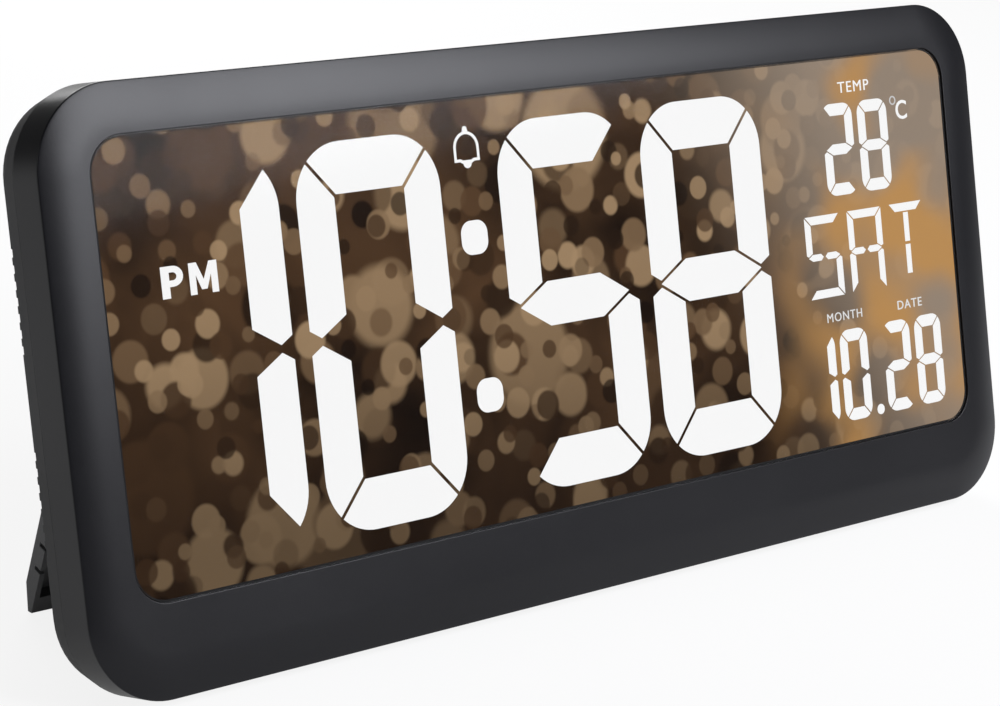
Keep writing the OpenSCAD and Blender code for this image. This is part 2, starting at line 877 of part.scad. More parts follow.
module lcd_front_glass() {
    standing() color("#3c4144")
        slab(opening_w - 2 * fit_gap, opening_h - 2 * fit_gap, opening_corner_r - fit_gap, window_y,
            cell_z, cell_z + glass_t);
}

module lcd_rear_glass() {
    h = opening_h - 2 * fit_gap - contact_h;
    standing() color("#4a5053")
        slab(opening_w - 2 * fit_gap, h, opening_corner_r - fit_gap, window_y + contact_h / 2,
            cell_z + glass_t, cell_back);
}

// Rectangular sheet of the backlight
module sheet(w, h, z, t) {
    block([-w / 2, window_y - h / 2, z], [w / 2, window_y + h / 2, z + t]);
}

module diffuser_sheet() {
    standing() color("#eef0f0")
        sheet(guide_w, guide_h, cell_back, sheet_t);
}

module light_guide() {
    standing() color("#dfe8ea", 0.6)
        sheet(guide_w, guide_h, guide_z, guide_t);
}

module reflector_sheet() {
    standing() color("#f4f4f2")
        sheet(guide_w, guide_h, reflector_z, sheet_t);
}

module backlight_tray() {
    standing() color("#e8e8e4") difference() {
        union() {
            sheet(tray_w, tray_h, face_t, tray_back - face_t);
            for (x = [-1, 1], y = [-1, 1])
                translate([x * tray_ear_x, window_y + y * (tray_h / 2 + tray_ear - join), tray_z])
                    linear_extrude(tray_wall)
                        square([2 * tray_ear, 2 * (tray_ear + join)], center = true);
            for (p = board_screw_places)
                pin(p, tray_boss_r, tray_z + join, board_z);
        }
        sheet(tray_in_w, tray_in_h, face_t - over, tray_z - face_t + over);
        for (p = tray_screw_places)
            pin(p, small_screw[2] + fit_gap, tray_z - over, tray_back + over);
        for (p = board_screw_places)
            pin(p, small_screw[2] + thread_gap, tray_z + join, board_z + over);
        for (x = [-1, 1])
            translate([x * (strip_x - lead_slot), board_y, tray_z])
                cube([2 * lead_slot, lead_w + 2 * lead_slot, 2 * tray_wall + over], center = true);
        block([-ribbon_w / 2 - over, tray_low - over, face_t - over],
            [ribbon_w / 2 + over, tray_low + tray_wall + over, face_t + ribbon_t + 2 * fit_gap]);
    }
}

module led_strips() {
    standing() color("#f0efe6")
        for (x = [-1, 1])
            translate([x * (strip_x - strip_t / 2), window_y, guide_z + guide_t / 2])
                cube([strip_t, strip_l, guide_t - 2 * strip_inset], center = true);
}

module led_chips() {
    standing() color("#f6e9a8")
        for (x = [-1, 1], i = [0 : chip_count - 1])
            translate([x * (strip_x - strip_t - chip_deep / 2),
                window_y + (i - (chip_count - 1) / 2) * strip_l / chip_count, guide_z + guide_t / 2])
                cube([chip_deep, chip_l, guide_t - 2 * chip_inset], center = true);
}

module led_leads() {
    standing() color("#c9a24a")
        for (x = [-1, 1]) {
            board_end = x > 0 ? board_right : -board_left;
            mirror([x < 0 ? 1 : 0, 0, 0])
                translate([0, board_y - lead_w / 2, 0]) {
                    block([strip_x - strip_t, 0, reflector_z], [strip_x, lead_w, tray_back + lead_t]);
                    block([board_end - lead_w, 0, tray_back], [strip_x, lead_w, tray_back + lead_t]);
                    block([board_end - lead_w, 0, tray_back], [board_end - lead_w / 4, lead_w, board_z]);
                }
        }
}

module main_board() {
    standing() color(board_green) difference() {
        block([board_left, board_low, board_z], [board_right, board_low + board_h, board_top]);
        for (p = board_screw_places)
            pin(p, small_screw[2] + fit_gap, board_z - over, board_top + over);
    }
}

// Block that stands on the main board, centred on its place
module on_board(at, size) {
    translate([at[0], at[1], board_top + size[2] / 2])
        cube(size, center = true);
}

module controller_chip() {
    standing() color("#1a1a1b")
        on_board(chip_at, [chip_side, chip_side, chip_t]);
}

module crystal_can() {
    standing() color(steel)
        translate([crystal_at[0], crystal_at[1], board_top])
            linear_extrude(crystal_tall)
                stadium(crystal_w, crystal_h);
}

module filter_capacitor() {
    standing() color("#3a4664")
        pin(capacitor_at, capacitor_r, board_top, board_top + capacitor_h);
}

module buzzer() {
    standing() color("#161617") difference() {
        pin(buzzer_at, buzzer_r, board_top, board_top + buzzer_h);
        pin(buzzer_at, buzzer_hole_r, board_top + buzzer_h / 2, board_top + buzzer_h + over);
    }
}

module temperature_sensor() {
    standing() color("#202022")
        translate([sensor_at[0], sensor_at[1], board_top]) {
            translate([sensor_l, 0, sensor_r])
                cross_pin(sensor_r, sensor_l);
            for (i = [-1, 0, 1])
                translate([-sensor_l, i * sensor_pitch - sensor_lead / 2, 0]) {
                    cube([2 * sensor_l, sensor_lead, sensor_lead]);
                    translate([2 * sensor_l - sensor_lead, 0, 0])
                        cube([sensor_lead, sensor_lead, sensor_r]);
                }
        }
}

module lcd_connector() {
    standing() color("#e6e1d2") difference() {
        on_board([0, board_low + connector_in + connector_h / 2], [connector_w, connector_h, connector_tall]);
        block([-ribbon_w / 2 - fit_gap, board_low - over, board_top + connector_mouth],
            [ribbon_w / 2 + fit_gap, board_low + connector_h - connector_in,
            board_top + connector_mouth + ribbon_t + connector_play]);
    }
}

module ribbon_cable() {
    foot = window_y - opening_h / 2 + fit_gap;
    tab = foot + ribbon_edge;
    tab_z = cell_z + glass_t;
    turn = tray_low - ribbon_turn;
    pass_z = face_t + fit_gap;
    plug_z = board_top + connector_mouth + connector_play / 2;
    half = ribbon_w / 2;
    standing() color("#b98a3c") {
        block([-half, tab, tab_z], [half, foot + contact_h - ribbon_edge, tab_z + ribbon_t]);
        block([-half, tab, tab_z], [half, tab + ribbon_t, pass_z + ribbon_t]);
        block([-half, turn, pass_z], [half, tab + ribbon_t, pass_z + ribbon_t]);
        block([-half, turn, pass_z], [half, turn + ribbon_t, plug_z + ribbon_t]);
        block([-half, turn, plug_z], [half, board_low + connector_h - 2 * connector_in, plug_z + ribbon_t]);
    }
}

module coin_holder() {
    standing() color("#26262a") difference() {
        on_board(cell_at, [holder_side, holder_side, holder_floor + cell_t + holder_wall]);
        pin(cell_at, cell_r + fit_gap, board_top + holder_floor, back_z);
    }
}

module coin_cell() {
    standing() color(steel)
        pin(cell_at, cell_r, board_top + holder_floor, board_top + holder_floor + cell_t);
}

module socket_shell() {
    standing() color(steel)
        translate([socket_at[0], socket_at[1], board_top])
            difference() {
                linear_extrude(socket_depth)
                    socket_outline(socket_wall);
                translate([0, 0, socket_floor])
                    linear_extrude(socket_depth)
                        socket_outline(0);
            }
}

module socket_tongue() {
    standing() color("#1c1c1e")
        translate([socket_at[0] - tongue_w / 2, socket_at[1] - tongue_h / 2, board_top + socket_floor])
            cube([tongue_w, tongue_h, socket_depth - socket_floor - tongue_back]);
}

module key_board() {
    standing() color(board_green) difference() {
        block([-key_board_w / 2, key_y - key_board_h / 2, key_board_z],
            [key_board_w / 2, key_y + key_board_h / 2, key_board_z + key_board_t]);
        for (x = [-1, 1])
            pin([x * key_post_x, key_y], small_screw[2] + fit_gap,
                key_board_z - over, key_board_z + key_board_t + over);
    }
}

module tact_switches() {
    base = key_board_z + key_board_t;
    standing() color("#3a3a3c")
        for (x = key_xs) {
            translate([x, key_y, base + switch_h / 2])
                cube([switch_side, switch_side, switch_h], center = true);
            pin([x, key_y], plunger_r, base + switch_h - join, plunger_top);
        }
}

module key_cable() {
    low = board_low + board_h - key_cable_lap;
    high = key_y - key_board_h / 2 + key_cable_end;
    x0 = key_cable_x - key_cable_w / 2;
    x1 = key_cable_x + key_cable_w / 2;
    standing() color("#d8d2c4") {
        block([x0, low, board_top], [x1, high, board_top + key_cable_t]);
        block([x0, high - key_cable_tab, min(board_top, key_board_z - key_cable_t)], [x1, high, key_board_z]);
    }
}

// Key cap with the flange that holds it behind the cover
module key(i) {
    standing() color("#3b3b3e")
        translate([key_xs[i], key_y, 0]) {
            translate([0, 0, key_low])
                linear_extrude(back_z + key_proud - key_low)
                    stadium(key_w, key_h);
            translate([0, 0, key_low])
                linear_extrude(key_flange_t)
                    stadium(key_w + 2 * key_flange, key_h + 2 * key_flange);
        }
}

module battery_door() {
    standing() color(charcoal_rear) difference() {
        door_plate(-door_clear, back_z - door_t + thread_gap, back_z);
        door_pin(door_screw[2] + thread_gap, back_z - door_t - over, back_z + over);
        door_pin(door_screw[0] + fit_gap, back_z - door_screw_sink, back_z + over);
        for (i = [0 : grip_count - 1])
            translate([cell_at[0], door_y + door_h / 2 - grip_drop - i * grip_pitch, back_z])
                cube([grip_w, grip_line, grip_line], center = true);
    }
}

module door_screw() {
    standing() color(steel)
        screw(door_screw, [cell_at[0], door_screw_y], back_z - door_screw_sink, door_screw_l);
}

// Outline of a leg seen from its side: x up the leg from the pivot, y towards its back
module leg_outline() {
    half = leg_t / 2;
    polygon([[leg_heel, -half], [-leg_reach(-half), -half], [-leg_l, toe_w],
        [toe_back - leg_l, half], [0, half]]);
    circle(half);
}

// One leg about its pivot, hanging straight down
module leg_shape() {
    half = leg_t / 2;
    difference() {
        union() {
            rotate([90, 0, 90])
                linear_extrude(leg_w, center = true)
                    leg_outline();
            cross_pin(stub_r, recess_w + 2 * stub_l);
        }
        block([-leg_w / 2 + leg_rim, -leg_l + toe_back / 2 + leg_rim, -half - over],
            [leg_w / 2 - leg_rim, -leg_hollow_top, half - leg_plate]);
        for (u = slot_from_end)
            translate([0, u - leg_l, -half])
                cube([leg_w + over, slot_w, 2 * slot_deep], center = true);
    }
}

module leg(side) {
    standing() color(charcoal)
        translate([side * leg_x, pivot_y, pivot_z])
            rotate([-leg_open, 0, 0])
                leg_shape();
}

module case_screws() {
    standing() color(steel)
        for (p = case_screw_places)
            screw(case_screw, p, post_z + post_floor, post_z + post_floor - face_t - wall - join);
}

module tray_screws() {
    standing() color(steel)
        for (p = tray_screw_places)
            screw(small_screw, p, tray_back, tray_back - face_t - join);
}

module board_screws() {
    standing() color(steel)
        for (p = board_screw_places)
            screw(small_screw, p, board_top, board_top - tray_z - 2 * join);
}

module key_board_screws() {
    standing() color(steel)
        for (x = [-1, 1])
            translate([0, 0, 2 * key_board_z])
                mirror([0, 0, 1])
                    screw(small_screw, [x * key_post_x, key_y], key_board_z, key_screw_l);
}

front_frame();
rear_cover();
window_lens();
lens_tape();
time_segments();
colon_dots();
temperature_segments();
weekday_segments();
date_segments();
bell_mark();
background_film();
lcd_front_glass();
lcd_rear_glass();
diffuser_sheet();
light_guide();
reflector_sheet();
backlight_tray();
led_strips();
led_chips();
led_leads();
main_board();
controller_chip();
crystal_can();
filter_capacitor();
buzzer();
temperature_sensor();
lcd_connector();
ribbon_cable();
coin_holder();
coin_cell();
socket_shell();
socket_tongue();
key_board();
tact_switches();
key_cable();
key(0);  // key_mode
key(1);  // key_set
key(2);  // key_up
key(3);  // key_down
key(4);  // key_alarm
key(5);  // key_light
battery_door();
door_screw();
leg(-1);  // leg_left
leg(1);  // leg_right
case_screws();
tray_screws();
board_screws();
key_board_screws();
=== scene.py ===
"""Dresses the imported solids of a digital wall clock: mouldings, keys, screws, lettering and finishes."""

import math

import bmesh
import bpy
from bpy.props import FloatProperty, FloatVectorProperty, IntProperty, PointerProperty
from mathutils import Matrix, Vector


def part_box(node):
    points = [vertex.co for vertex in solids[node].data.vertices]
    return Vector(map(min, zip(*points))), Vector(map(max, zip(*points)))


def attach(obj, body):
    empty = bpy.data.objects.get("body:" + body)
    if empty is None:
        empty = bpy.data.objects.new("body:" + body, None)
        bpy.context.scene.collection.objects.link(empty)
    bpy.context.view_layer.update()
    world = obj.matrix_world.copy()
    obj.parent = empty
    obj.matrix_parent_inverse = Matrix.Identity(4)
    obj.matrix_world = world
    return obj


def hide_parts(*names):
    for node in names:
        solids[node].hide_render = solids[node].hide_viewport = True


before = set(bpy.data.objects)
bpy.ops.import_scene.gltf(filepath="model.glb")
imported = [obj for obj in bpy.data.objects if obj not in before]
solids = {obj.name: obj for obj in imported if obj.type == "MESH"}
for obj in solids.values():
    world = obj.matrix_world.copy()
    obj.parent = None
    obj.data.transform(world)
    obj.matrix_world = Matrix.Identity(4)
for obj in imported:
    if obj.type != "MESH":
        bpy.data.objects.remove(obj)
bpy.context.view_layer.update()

bl_info = {
    "name": "Digital wall clock",
    "version": (1, 0, 0),
    "blender": (4, 5, 0),
    "location": "View3D > Sidebar > Clock",
    "description": "Builds the visible pieces of a digital wall clock around its packed solids",
    "category": "Add Mesh",
}

KEYS = ("key_down", "key_up", "key_set", "key_mode", "key_alarm", "key_light")

# Limits of the mesh work: points and planes that are one, edges that are rounded, and faces shaded flat
SAME_POINT = 1e-6
SAME_COPIED_POINT = 2e-6
SAME_TURNED_POINT = 1e-7
SAME_PLANE = math.radians(0.5)
OUTER_EDGE = math.radians(50)
CURVE_STEP = math.radians(20)
FLAT_FACE = 0.00003

# Share of a key's half height that its hollow reaches
KEY_DISH_REACH = 0.93

# Half side of the floor, then the share of white that floor and room show to the camera and to mirrored rays
FLOOR_HALF = 8.0
FLOOR_SEEN = 0.86
FLOOR_MIRRORED = 0.4
ROOM_SEEN = 0.87
ROOM_MIRRORED = 0.03


# Sizes and colours that a user would change
def length(name, description, default):
    return FloatProperty(name=name, description=description, default=default, unit="LENGTH", precision=5)


def colour(name, description, default):
    return FloatVectorProperty(name=name, description=description, default=default, subtype="COLOR",
                               size=4, min=0.0, max=1.0)


def power(name, description, default):
    return FloatProperty(name=name, description=description, default=default, subtype="POWER")


class ClockSizes(bpy.types.PropertyGroup):
    """Sizes of the moulded pieces, in the clock's own plane: across, up the face and back from the bezel."""

    lean: FloatProperty(name="Lean", description="How far the face leans back", default=math.radians(14.5),
                        subtype="ANGLE")
    case_width: length("Case width", "Width of the case", 0.370)
    case_height: length("Case height", "Height of the case up its face", 0.167)
    case_round: length("Case corner", "Radius of the case's corners", 0.0246)
    window_width: length("Window width", "Width of the window", 0.340)
    window_height: length("Window height", "Height of the window", 0.126)
    window_round: length("Window corner", "Radius of the window's corners", 0.0105)
    window_middle: length("Window middle", "Height of the window's middle up the face", 0.0896)
    front_depth: length("Frame depth", "Depth of the front frame back to the seam", 0.014)
    rear_depth: length("Cover depth", "Depth of the rear cover behind the seam", 0.0085)
    wall: length("Wall", "Wall of the front frame", 0.0022)
    pillow_width: length("Pillow width", "Width of the bezel's rounded border", 0.013)
    pillow_drop: length("Pillow drop", "How far the rounded border falls back", 0.002)
    crease_round: length("Crease", "Radius of the crease between border and side wall", 0.0005)
    rim_round: length("Window rim", "Radius of the bezel's edge at the window", 0.0002)
    seam_round: length("Seam", "Radius of the edges at the seam", 0.00015)
    ledge_front: length("Ledge front", "Depth of the ledge behind the lens", 0.0010)
    ledge_back: length("Ledge back", "Depth of the back of the ledge", 0.0025)
    ledge_width: length("Ledge width", "Width of the ledge", 0.003)
    moulded_edge: length("Moulded edge", "Radius of the edges of rear cover and battery door", 0.00015)
    leg_edge: length("Leg edge", "Radius of the edges of the legs", 0.00018)
    key_width: length("Key width", "Width of a key", 0.010)
    key_height: length("Key height", "Height of a key", 0.006)
    key_level: length("Key level", "Height of the keys up the back", 0.117)
    key_foot: length("Key foot", "Depth at which a key's flange starts", 0.0191)
    key_flange: length("Key flange", "Reach and thickness of a key's flange", 0.001)
    key_top: length("Key top", "Depth of a key's top", 0.0235)
    key_edge: length("Key edge", "Radius of a key's edge", 0.0007)
    key_dish: length("Key dish", "Hollow of a key's top", 0.00025)
    screw_side: length("Screw side", "Distance of the outer case screws from the case side", 0.0185)
    screw_edge: length("Screw edge", "Distance of the case screws from the top and bottom edge", 0.0084)
    screw_seat: length("Screw seat", "Depth of the seat under a case screw's head", 0.0135)
    word_height: length("Word height", "Height of the raised words on the back", 0.0022)
    word_raise: length("Word raise", "How far the raised words stand out", 0.00015)
    lit_depth: length("Lit depth", "Depth of the lit lettering behind the bezel", 0.00074)
    lit_thick: length("Lit thickness", "Thickness of the lit lettering", 0.00012)
    corner_steps: IntProperty(name="Corner steps", description="Steps round each moulded corner", default=20)


class ClockColours(bpy.types.PropertyGroup):
    """Colours of the clock's materials."""

    front: colour("Front frame", "Plastic of the front frame", (0.0030, 0.0030, 0.0042, 1))
    rear: colour("Rear cover", "Plastic of the rear cover", (0.0105, 0.0105, 0.0115, 1))
    # Painted light: the legs' colour is set much lighter than the case's same charcoal plastic, standing in
    # for light that falls on them
    leg: colour("Legs", "Plastic of the legs", (0.098, 0.098, 0.100, 1))
    key: colour("Keys", "Plastic of the keys", (0.030, 0.030, 0.032, 1))
    lit: colour("Lit marks", "Light of the digits and letters", (1.0, 1.0, 1.0, 1))
    film_dark: colour("Film, dark", "Darkest brown of the film", (0.006, 0.0028, 0.0012, 1))
    film_brown: colour("Film, brown", "Middle brown of the film", (0.090, 0.046, 0.021, 1))
    film_tan: colour("Film, tan", "Palest tan of the film", (0.390, 0.260, 0.145, 1))
    film_haze: colour("Film, haze", "Grey haze of the film", (0.360, 0.285, 0.220, 1))
    film_amber: colour("Film, amber", "Amber glow of the film", (0.560, 0.290, 0.085, 1))


class ClockStage(bpy.types.PropertyGroup):
    """Camera, floor and lights."""

    eye: FloatVectorProperty(name="Camera", description="Place of the camera", subtype="TRANSLATION",
                             default=(-0.602957, -0.623863, 0.327265))
    aim: FloatVectorProperty(name="Camera turn", description="Turn of the camera", subtype="EULER",
                             default=tuple(math.radians(a) for a in (73.51746, -3.90443, -41.06796)))
    lens: FloatProperty(name="Lens", description="Focal length for a 36 mm frame", default=108.0,
                        unit="CAMERA")
    floor: colour("Floor", "Colour of the floor", (0.80, 0.80, 0.80, 1))
    room: FloatProperty(name="Room light", description="Light from all round", default=0.09)
    soft_box: power("Soft box", "Power of the large lamp in front", 28.7)
    side_strip: power("Side strip", "Power of the narrow lamp at the left", 2.4)
    back_fill: power("Back fill", "Power of the lamp behind", 14.0)


# Shader maths
class Value:
    """A shader socket with arithmetic: each operator adds a Math node."""

    def __init__(self, paint, socket):
        self.paint = paint
        self.socket = socket

    def out(self, name):
        return Value(self.paint, self.socket.node.outputs[name])

    def maths(self, operation, *terms):
        return self.paint.add("ShaderNodeMath", {"operation": operation}, dict(enumerate(terms)))

    def __add__(self, other):
        return self.maths("ADD", self, other)

    def __sub__(self, other):
        return self.maths("SUBTRACT", self, other)

    def __rsub__(self, other):
        return self.maths("SUBTRACT", other, self)

    def __mul__(self, other):
        return self.maths("MULTIPLY", self, other)

    __radd__ = __add__
    __rmul__ = __mul__


class Paint:
    """A material, or the room's light, and the nodes that make it."""

    def __init__(self, holder):
        self.holder = holder
        self.holder.use_nodes = True
        self.tree = self.holder.node_tree
        self.tree.nodes.clear()
        self.spot = self.add("ShaderNodeTexCoord", output="Object")

    def add(self, kind, settings=None, sockets=None, output=0):
        """One node: its settings first, then the values or links of its sockets."""
        node = self.tree.nodes.new(kind)
        for key, value in (settings or {}).items():
            if key == "stops":
                while len(node.color_ramp.elements) < len(value):
                    node.color_ramp.elements.new(0.5)
                for element, (at, shade) in zip(node.color_ramp.elements, value):
                    element.position = at
                    element.color = shade
            else:
                setattr(node, key, value)
        for key, value in (sockets or {}).items():
            if isinstance(value, Value):
                self.tree.links.new(value.socket, node.inputs[key])
            else:
                node.inputs[key].default_value = value
        return Value(self, node.outputs[output])

    def placed(self, move=(0, 0, 0), turn=(0, 0, 0), scale=(1, 1, 1), source=None):
        return self.add("ShaderNodeMapping", {"vector_type": "POINT"},
                        {"Vector": source or self.spot, "Location": move, "Rotation": turn, "Scale": scale})

    def noise(self, scale, detail=2.0, rough=0.5, source=None, twist=0.0):
        return self.add("ShaderNodeTexNoise", None,
                        {"Vector": source or self.spot, "Scale": scale, "Detail": detail, "Roughness": rough,
                         "Distortion": twist})

    def cells(self, scale, source=None, plane="3D", random=0.75):
        return self.add("ShaderNodeTexVoronoi", {"feature": "F1", "voronoi_dimensions": plane},
                        {"Vector": source or self.spot, "Scale": scale, "Randomness": random})

    def ramp(self, value, *stops):
        return self.add("ShaderNodeValToRGB", {"stops": stops}, {0: value})

    def spread(self, value, low, high):
        return self.add("ShaderNodeMapRange", {"interpolation_type": "SMOOTHSTEP"},
                        {"Value": value, "From Min": low, "From Max": high})

    def mix(self, factor, first, second):
        return self.add("ShaderNodeMix", {"data_type": "RGBA"}, {0: factor, 6: first, 7: second}, 2)

    def parts(self, vector):
        return self.add("ShaderNodeSeparateXYZ", None, {0: vector})

    def bump(self, height, strength, distance):
        return self.add("ShaderNodeBump", None,
                        {"Height": height, "Strength": strength, "Distance": distance})

    def finish(self, **sockets):
        named = {key.replace("_", " "): value for key, value in sockets.items()}
        return self.shown(self.add("ShaderNodeBsdfPrincipled", None, named))

    def shown(self, shader, kind="ShaderNodeOutputMaterial"):
        node = self.tree.nodes.new(kind)
        self.tree.links.new(shader.socket, node.inputs["Surface"])
        return self.holder


# Finishes
def new_paint(name):
    """Empty material, ready for its nodes."""
    return Paint(bpy.data.materials.new(name))


def shade(rgba, factor):
    """The same colour, darker or lighter."""
    return tuple(c * factor for c in rgba[:3]) + (1.0,)


def moulded_plastic(name, rgba, rough=0.5, shine=0.25, grain=1500.0, depth=0.00003):
    """Matt moulded plastic with a fine spark-eroded grain."""
    p = new_paint(name)
    cloud = p.noise(22.0, 3.0)
    speck = p.noise(grain, 2.0, 0.6)
    tone = p.mix(cloud, shade(rgba, 0.90), shade(rgba, 1.10))
    tone = p.mix(p.spread(speck, 0.35, 0.75) * 0.35, tone, shade(rgba, 1.35))
    return p.finish(Base_Color=tone, Roughness=rough - 0.05 + 0.10 * cloud + 0.08 * speck,
                    Specular_IOR_Level=shine, Normal=p.bump(speck, 0.35, depth))


def glow(name, rgba):
    """Evenly lit marks, a little brighter or dimmer at random."""
    p = new_paint(name)
    tone = p.mix(p.noise(9.0, 1.0), shade(rgba, 0.985), shade(rgba, 1.015))
    return p.finish(Base_Color=(0.02, 0.02, 0.02, 1), Roughness=0.6, Specular_IOR_Level=0.0,
                    Emission_Color=tone, Emission_Strength=1.0)


def clear_lens(name):
    """Thin clear panel with the faintest haze."""
    p = new_paint(name)
    tone = p.mix(p.noise(40.0, 3.0), (0.010, 0.010, 0.012, 1), (0.016, 0.016, 0.018, 1))
    return p.finish(Base_Color=tone, Roughness=0.08, Alpha=0.05)


def backlit_film(name, look, sizes):
    """Soft-focus print: overlapping rounded spots in warm browns that fade to a grey haze on the right."""
    p = new_paint(name)
    foot = standing(sizes) @ Vector((0, sizes.window_middle, sizes.ledge_front))
    at = p.placed(turn=(sizes.lean, 0, 0), move=-1 * (Matrix.Rotation(sizes.lean, 3, "X") @ foot))
    axes = p.parts(at)
    across = axes.out("X")
    up = axes.out("Z")
    flat = p.add("ShaderNodeCombineXYZ", None, {"X": across, "Y": up, "Z": 0.0})
    tone = p.ramp(p.noise(18.0, 3.0, source=flat, twist=0.6), (0.30, look.film_dark), (0.72, look.film_brown))
    for turn, scale, share in ((0.3, 17.0, 0.75), (1.0, 23.0, 0.8), (0.6, 28.0, 0.9), (1.3, 34.0, 0.85),
                               (0.1, 41.0, 0.9), (0.8, 50.0, 0.9), (0.45, 62.0, 0.85), (1.15, 78.0, 0.8)):
        grid = p.placed((1.3 * turn, 0.7 * turn, 0), (0, 0, turn), source=flat)
        spot = p.cells(scale, grid, "2D", 0.4)
        chance = p.parts(spot.out("Color"))
        disc = p.spread(spot - 0.15 - 0.14 * chance.out("Z"), 0.035, -0.035)
        fresh = p.ramp(chance.out("X"), (0.0, look.film_dark), (0.4, look.film_brown), (0.9, look.film_tan))
        tone = p.mix(disc * p.spread(chance.out("Y"), 0.10, 0.45) * share, tone, fresh)
    shadow = p.spread(up + 0.1 * across, 0.01, -0.07)
    tone = p.mix(shadow * 0.6, tone, look.film_dark)
    haze = p.spread(across + 0.5 * up, 0.05, 0.15)
    tone = p.mix(haze * 0.85, tone, look.film_haze)
    drift = p.noise(26.0, 1.0, source=p.placed((0.61, 0.17, 0), source=flat))
    warm = p.spread(drift, 0.42, 0.66) * p.spread(across, 0.070, 0.115)
    tone = p.mix(warm * 0.85, tone, look.film_amber)
    return p.finish(Base_Color=(0.001, 0.001, 0.001, 1), Roughness=0.5, Specular_IOR_Level=0.0,
                    Emission_Color=tone, Emission_Strength=1.0)


def plain_part(name, first, second, rough, scale=900.0, metal=0.0, shine=0.5, stretch=(1, 1, 1)):
    """Small inner part: two close tones, broken up by grain that may run one way."""
    p = new_paint(name)
    grain = p.noise(scale, 3.0, 0.6, p.placed(scale=stretch))
    cloud = p.noise(60.0, 2.0)
    tone = p.mix(p.spread(grain * 0.6 + cloud * 0.4, 0.35, 0.65), first, second)
    return p.finish(Base_Color=tone, Roughness=rough - 0.06 + 0.12 * grain, Metallic=metal,
                    Specular_IOR_Level=shine, Normal=p.bump(grain, 0.3, 0.00002))


def printed_board(name, mask, copper):
    """Board with traces under the solder mask and rows of tinned pads."""
    p = new_paint(name)
    lanes = p.add("ShaderNodeTexBrick", None, {"Vector": p.spot, "Scale": 140.0, "Mortar Size": 0.06,
                                               "Color1": (0, 0, 0, 1), "Color2": (0, 0, 0, 1),
                                               "Mortar": (1, 1, 1, 1)}, 1)
    dots = p.spread(p.cells(260.0), 0.30, 0.24)
    tone = p.mix(p.noise(50.0, 2.0), shade(mask, 0.8), shade(mask, 1.2))
    tone = p.mix(lanes * 0.6, tone, shade(mask, 2.0))
    tone = p.mix(dots * 0.7, tone, copper)
    return p.finish(Base_Color=tone, Roughness=0.35 + 0.1 * lanes, Metallic=dots * 0.7,
                    Normal=p.bump(lanes + dots, 0.3, 0.00003))


def ribbed(name, first, second, pitch):
    """Flat cable with a line for each conductor."""
    p = new_paint(name)
    line = p.add("ShaderNodeTexWave", {"bands_direction": "X"}, {"Vector": p.spot, "Scale": 0.314 / pitch,
                                                                  "Distortion": 0.0})
    tone = p.mix(p.spread(line, 0.4, 0.6), first, second)
    return p.finish(Base_Color=tone, Roughness=0.45 + 0.1 * line, Normal=p.bump(line, 0.5, 0.00005))


# Shapes
def standing(sizes):
    """From the clock's own plane to the frame: the face leans back on the edge strip of the rear cover."""
    c = math.cos(sizes.lean)
    s = math.sin(sizes.lean)
    middle = sizes.front_depth * c + sizes.rear_depth / (2 * c)
    return Matrix(((1, 0, 0, 0), (0, s, c, -middle), (0, c, -s, sizes.front_depth * s), (0, 0, 0, 1)))


def ring(half_w, half_h, middle, corner, depth, steps):
    """Points round a rounded rectangle at one depth."""
    points = []
    for quarter, (sx, sy) in enumerate(((1, 1), (-1, 1), (-1, -1), (1, -1))):
        for i in range(steps + 1):
            a = math.radians(90 * (quarter + i / steps))
            points.append((sx * (half_w - corner) + corner * math.cos(a),
                           middle + sy * (half_h - corner) + corner * math.sin(a), depth))
    return points


def arc(centre, radius, start, end, steps):
    """Points on an arc in the plane of reach and depth, by angles from straight ahead towards the side."""
    turn = [math.radians(start + (end - start) * i / steps) for i in range(steps + 1)]
    return [(centre[0] + radius * math.sin(a), centre[1] - radius * math.cos(a)) for a in turn]


def skin(rings, closed):
    """Mesh through rings with the same number of points, joined in a loop or closed by end faces."""
    bm = bmesh.new()
    rows = [[bm.verts.new(p) for p in points] for points in rings]
    count = len(rows[0])
    following = rows[1:] + rows[:1] if closed else rows[1:]
    for low, high in zip(rows, following):
        for i in range(count):
            j = (i + 1) % count
            bm.faces.new((low[i], low[j], high[j], high[i]))
    if not closed:
        bm.faces.new(rows[0])
        bm.faces.new(rows[-1])
    return bm


def finished(bm, name, place, material, bend=math.radians(40), flat=math.inf):
    """Object at the origin from a bmesh: placed, merged, facing outwards, smooth where it bends less than
    an angle, and flat on each face past an area."""
    bmesh.ops.transform(bm, matrix=place, verts=bm.verts)
    bmesh.ops.remove_doubles(bm, verts=bm.verts, dist=SAME_POINT)
    bmesh.ops.recalc_face_normals(bm, faces=bm.faces)
    wide = {face for face in bm.faces if face.calc_area() > flat}
    for face in bm.faces:
        face.smooth = True
    for edge in bm.edges:
        limit = SAME_PLANE if wide.intersection(edge.link_faces) else bend
        edge.smooth = edge.calc_face_angle(math.pi) < limit
    mesh = bpy.data.meshes.new(name)
    bm.to_mesh(mesh)
    bm.free()
    if not mesh.polygons:
        raise RuntimeError(name + " came out empty")
    piece = bpy.data.objects.new(name, mesh)
    bpy.context.scene.collection.objects.link(piece)
    mesh.materials.append(material)
    return piece


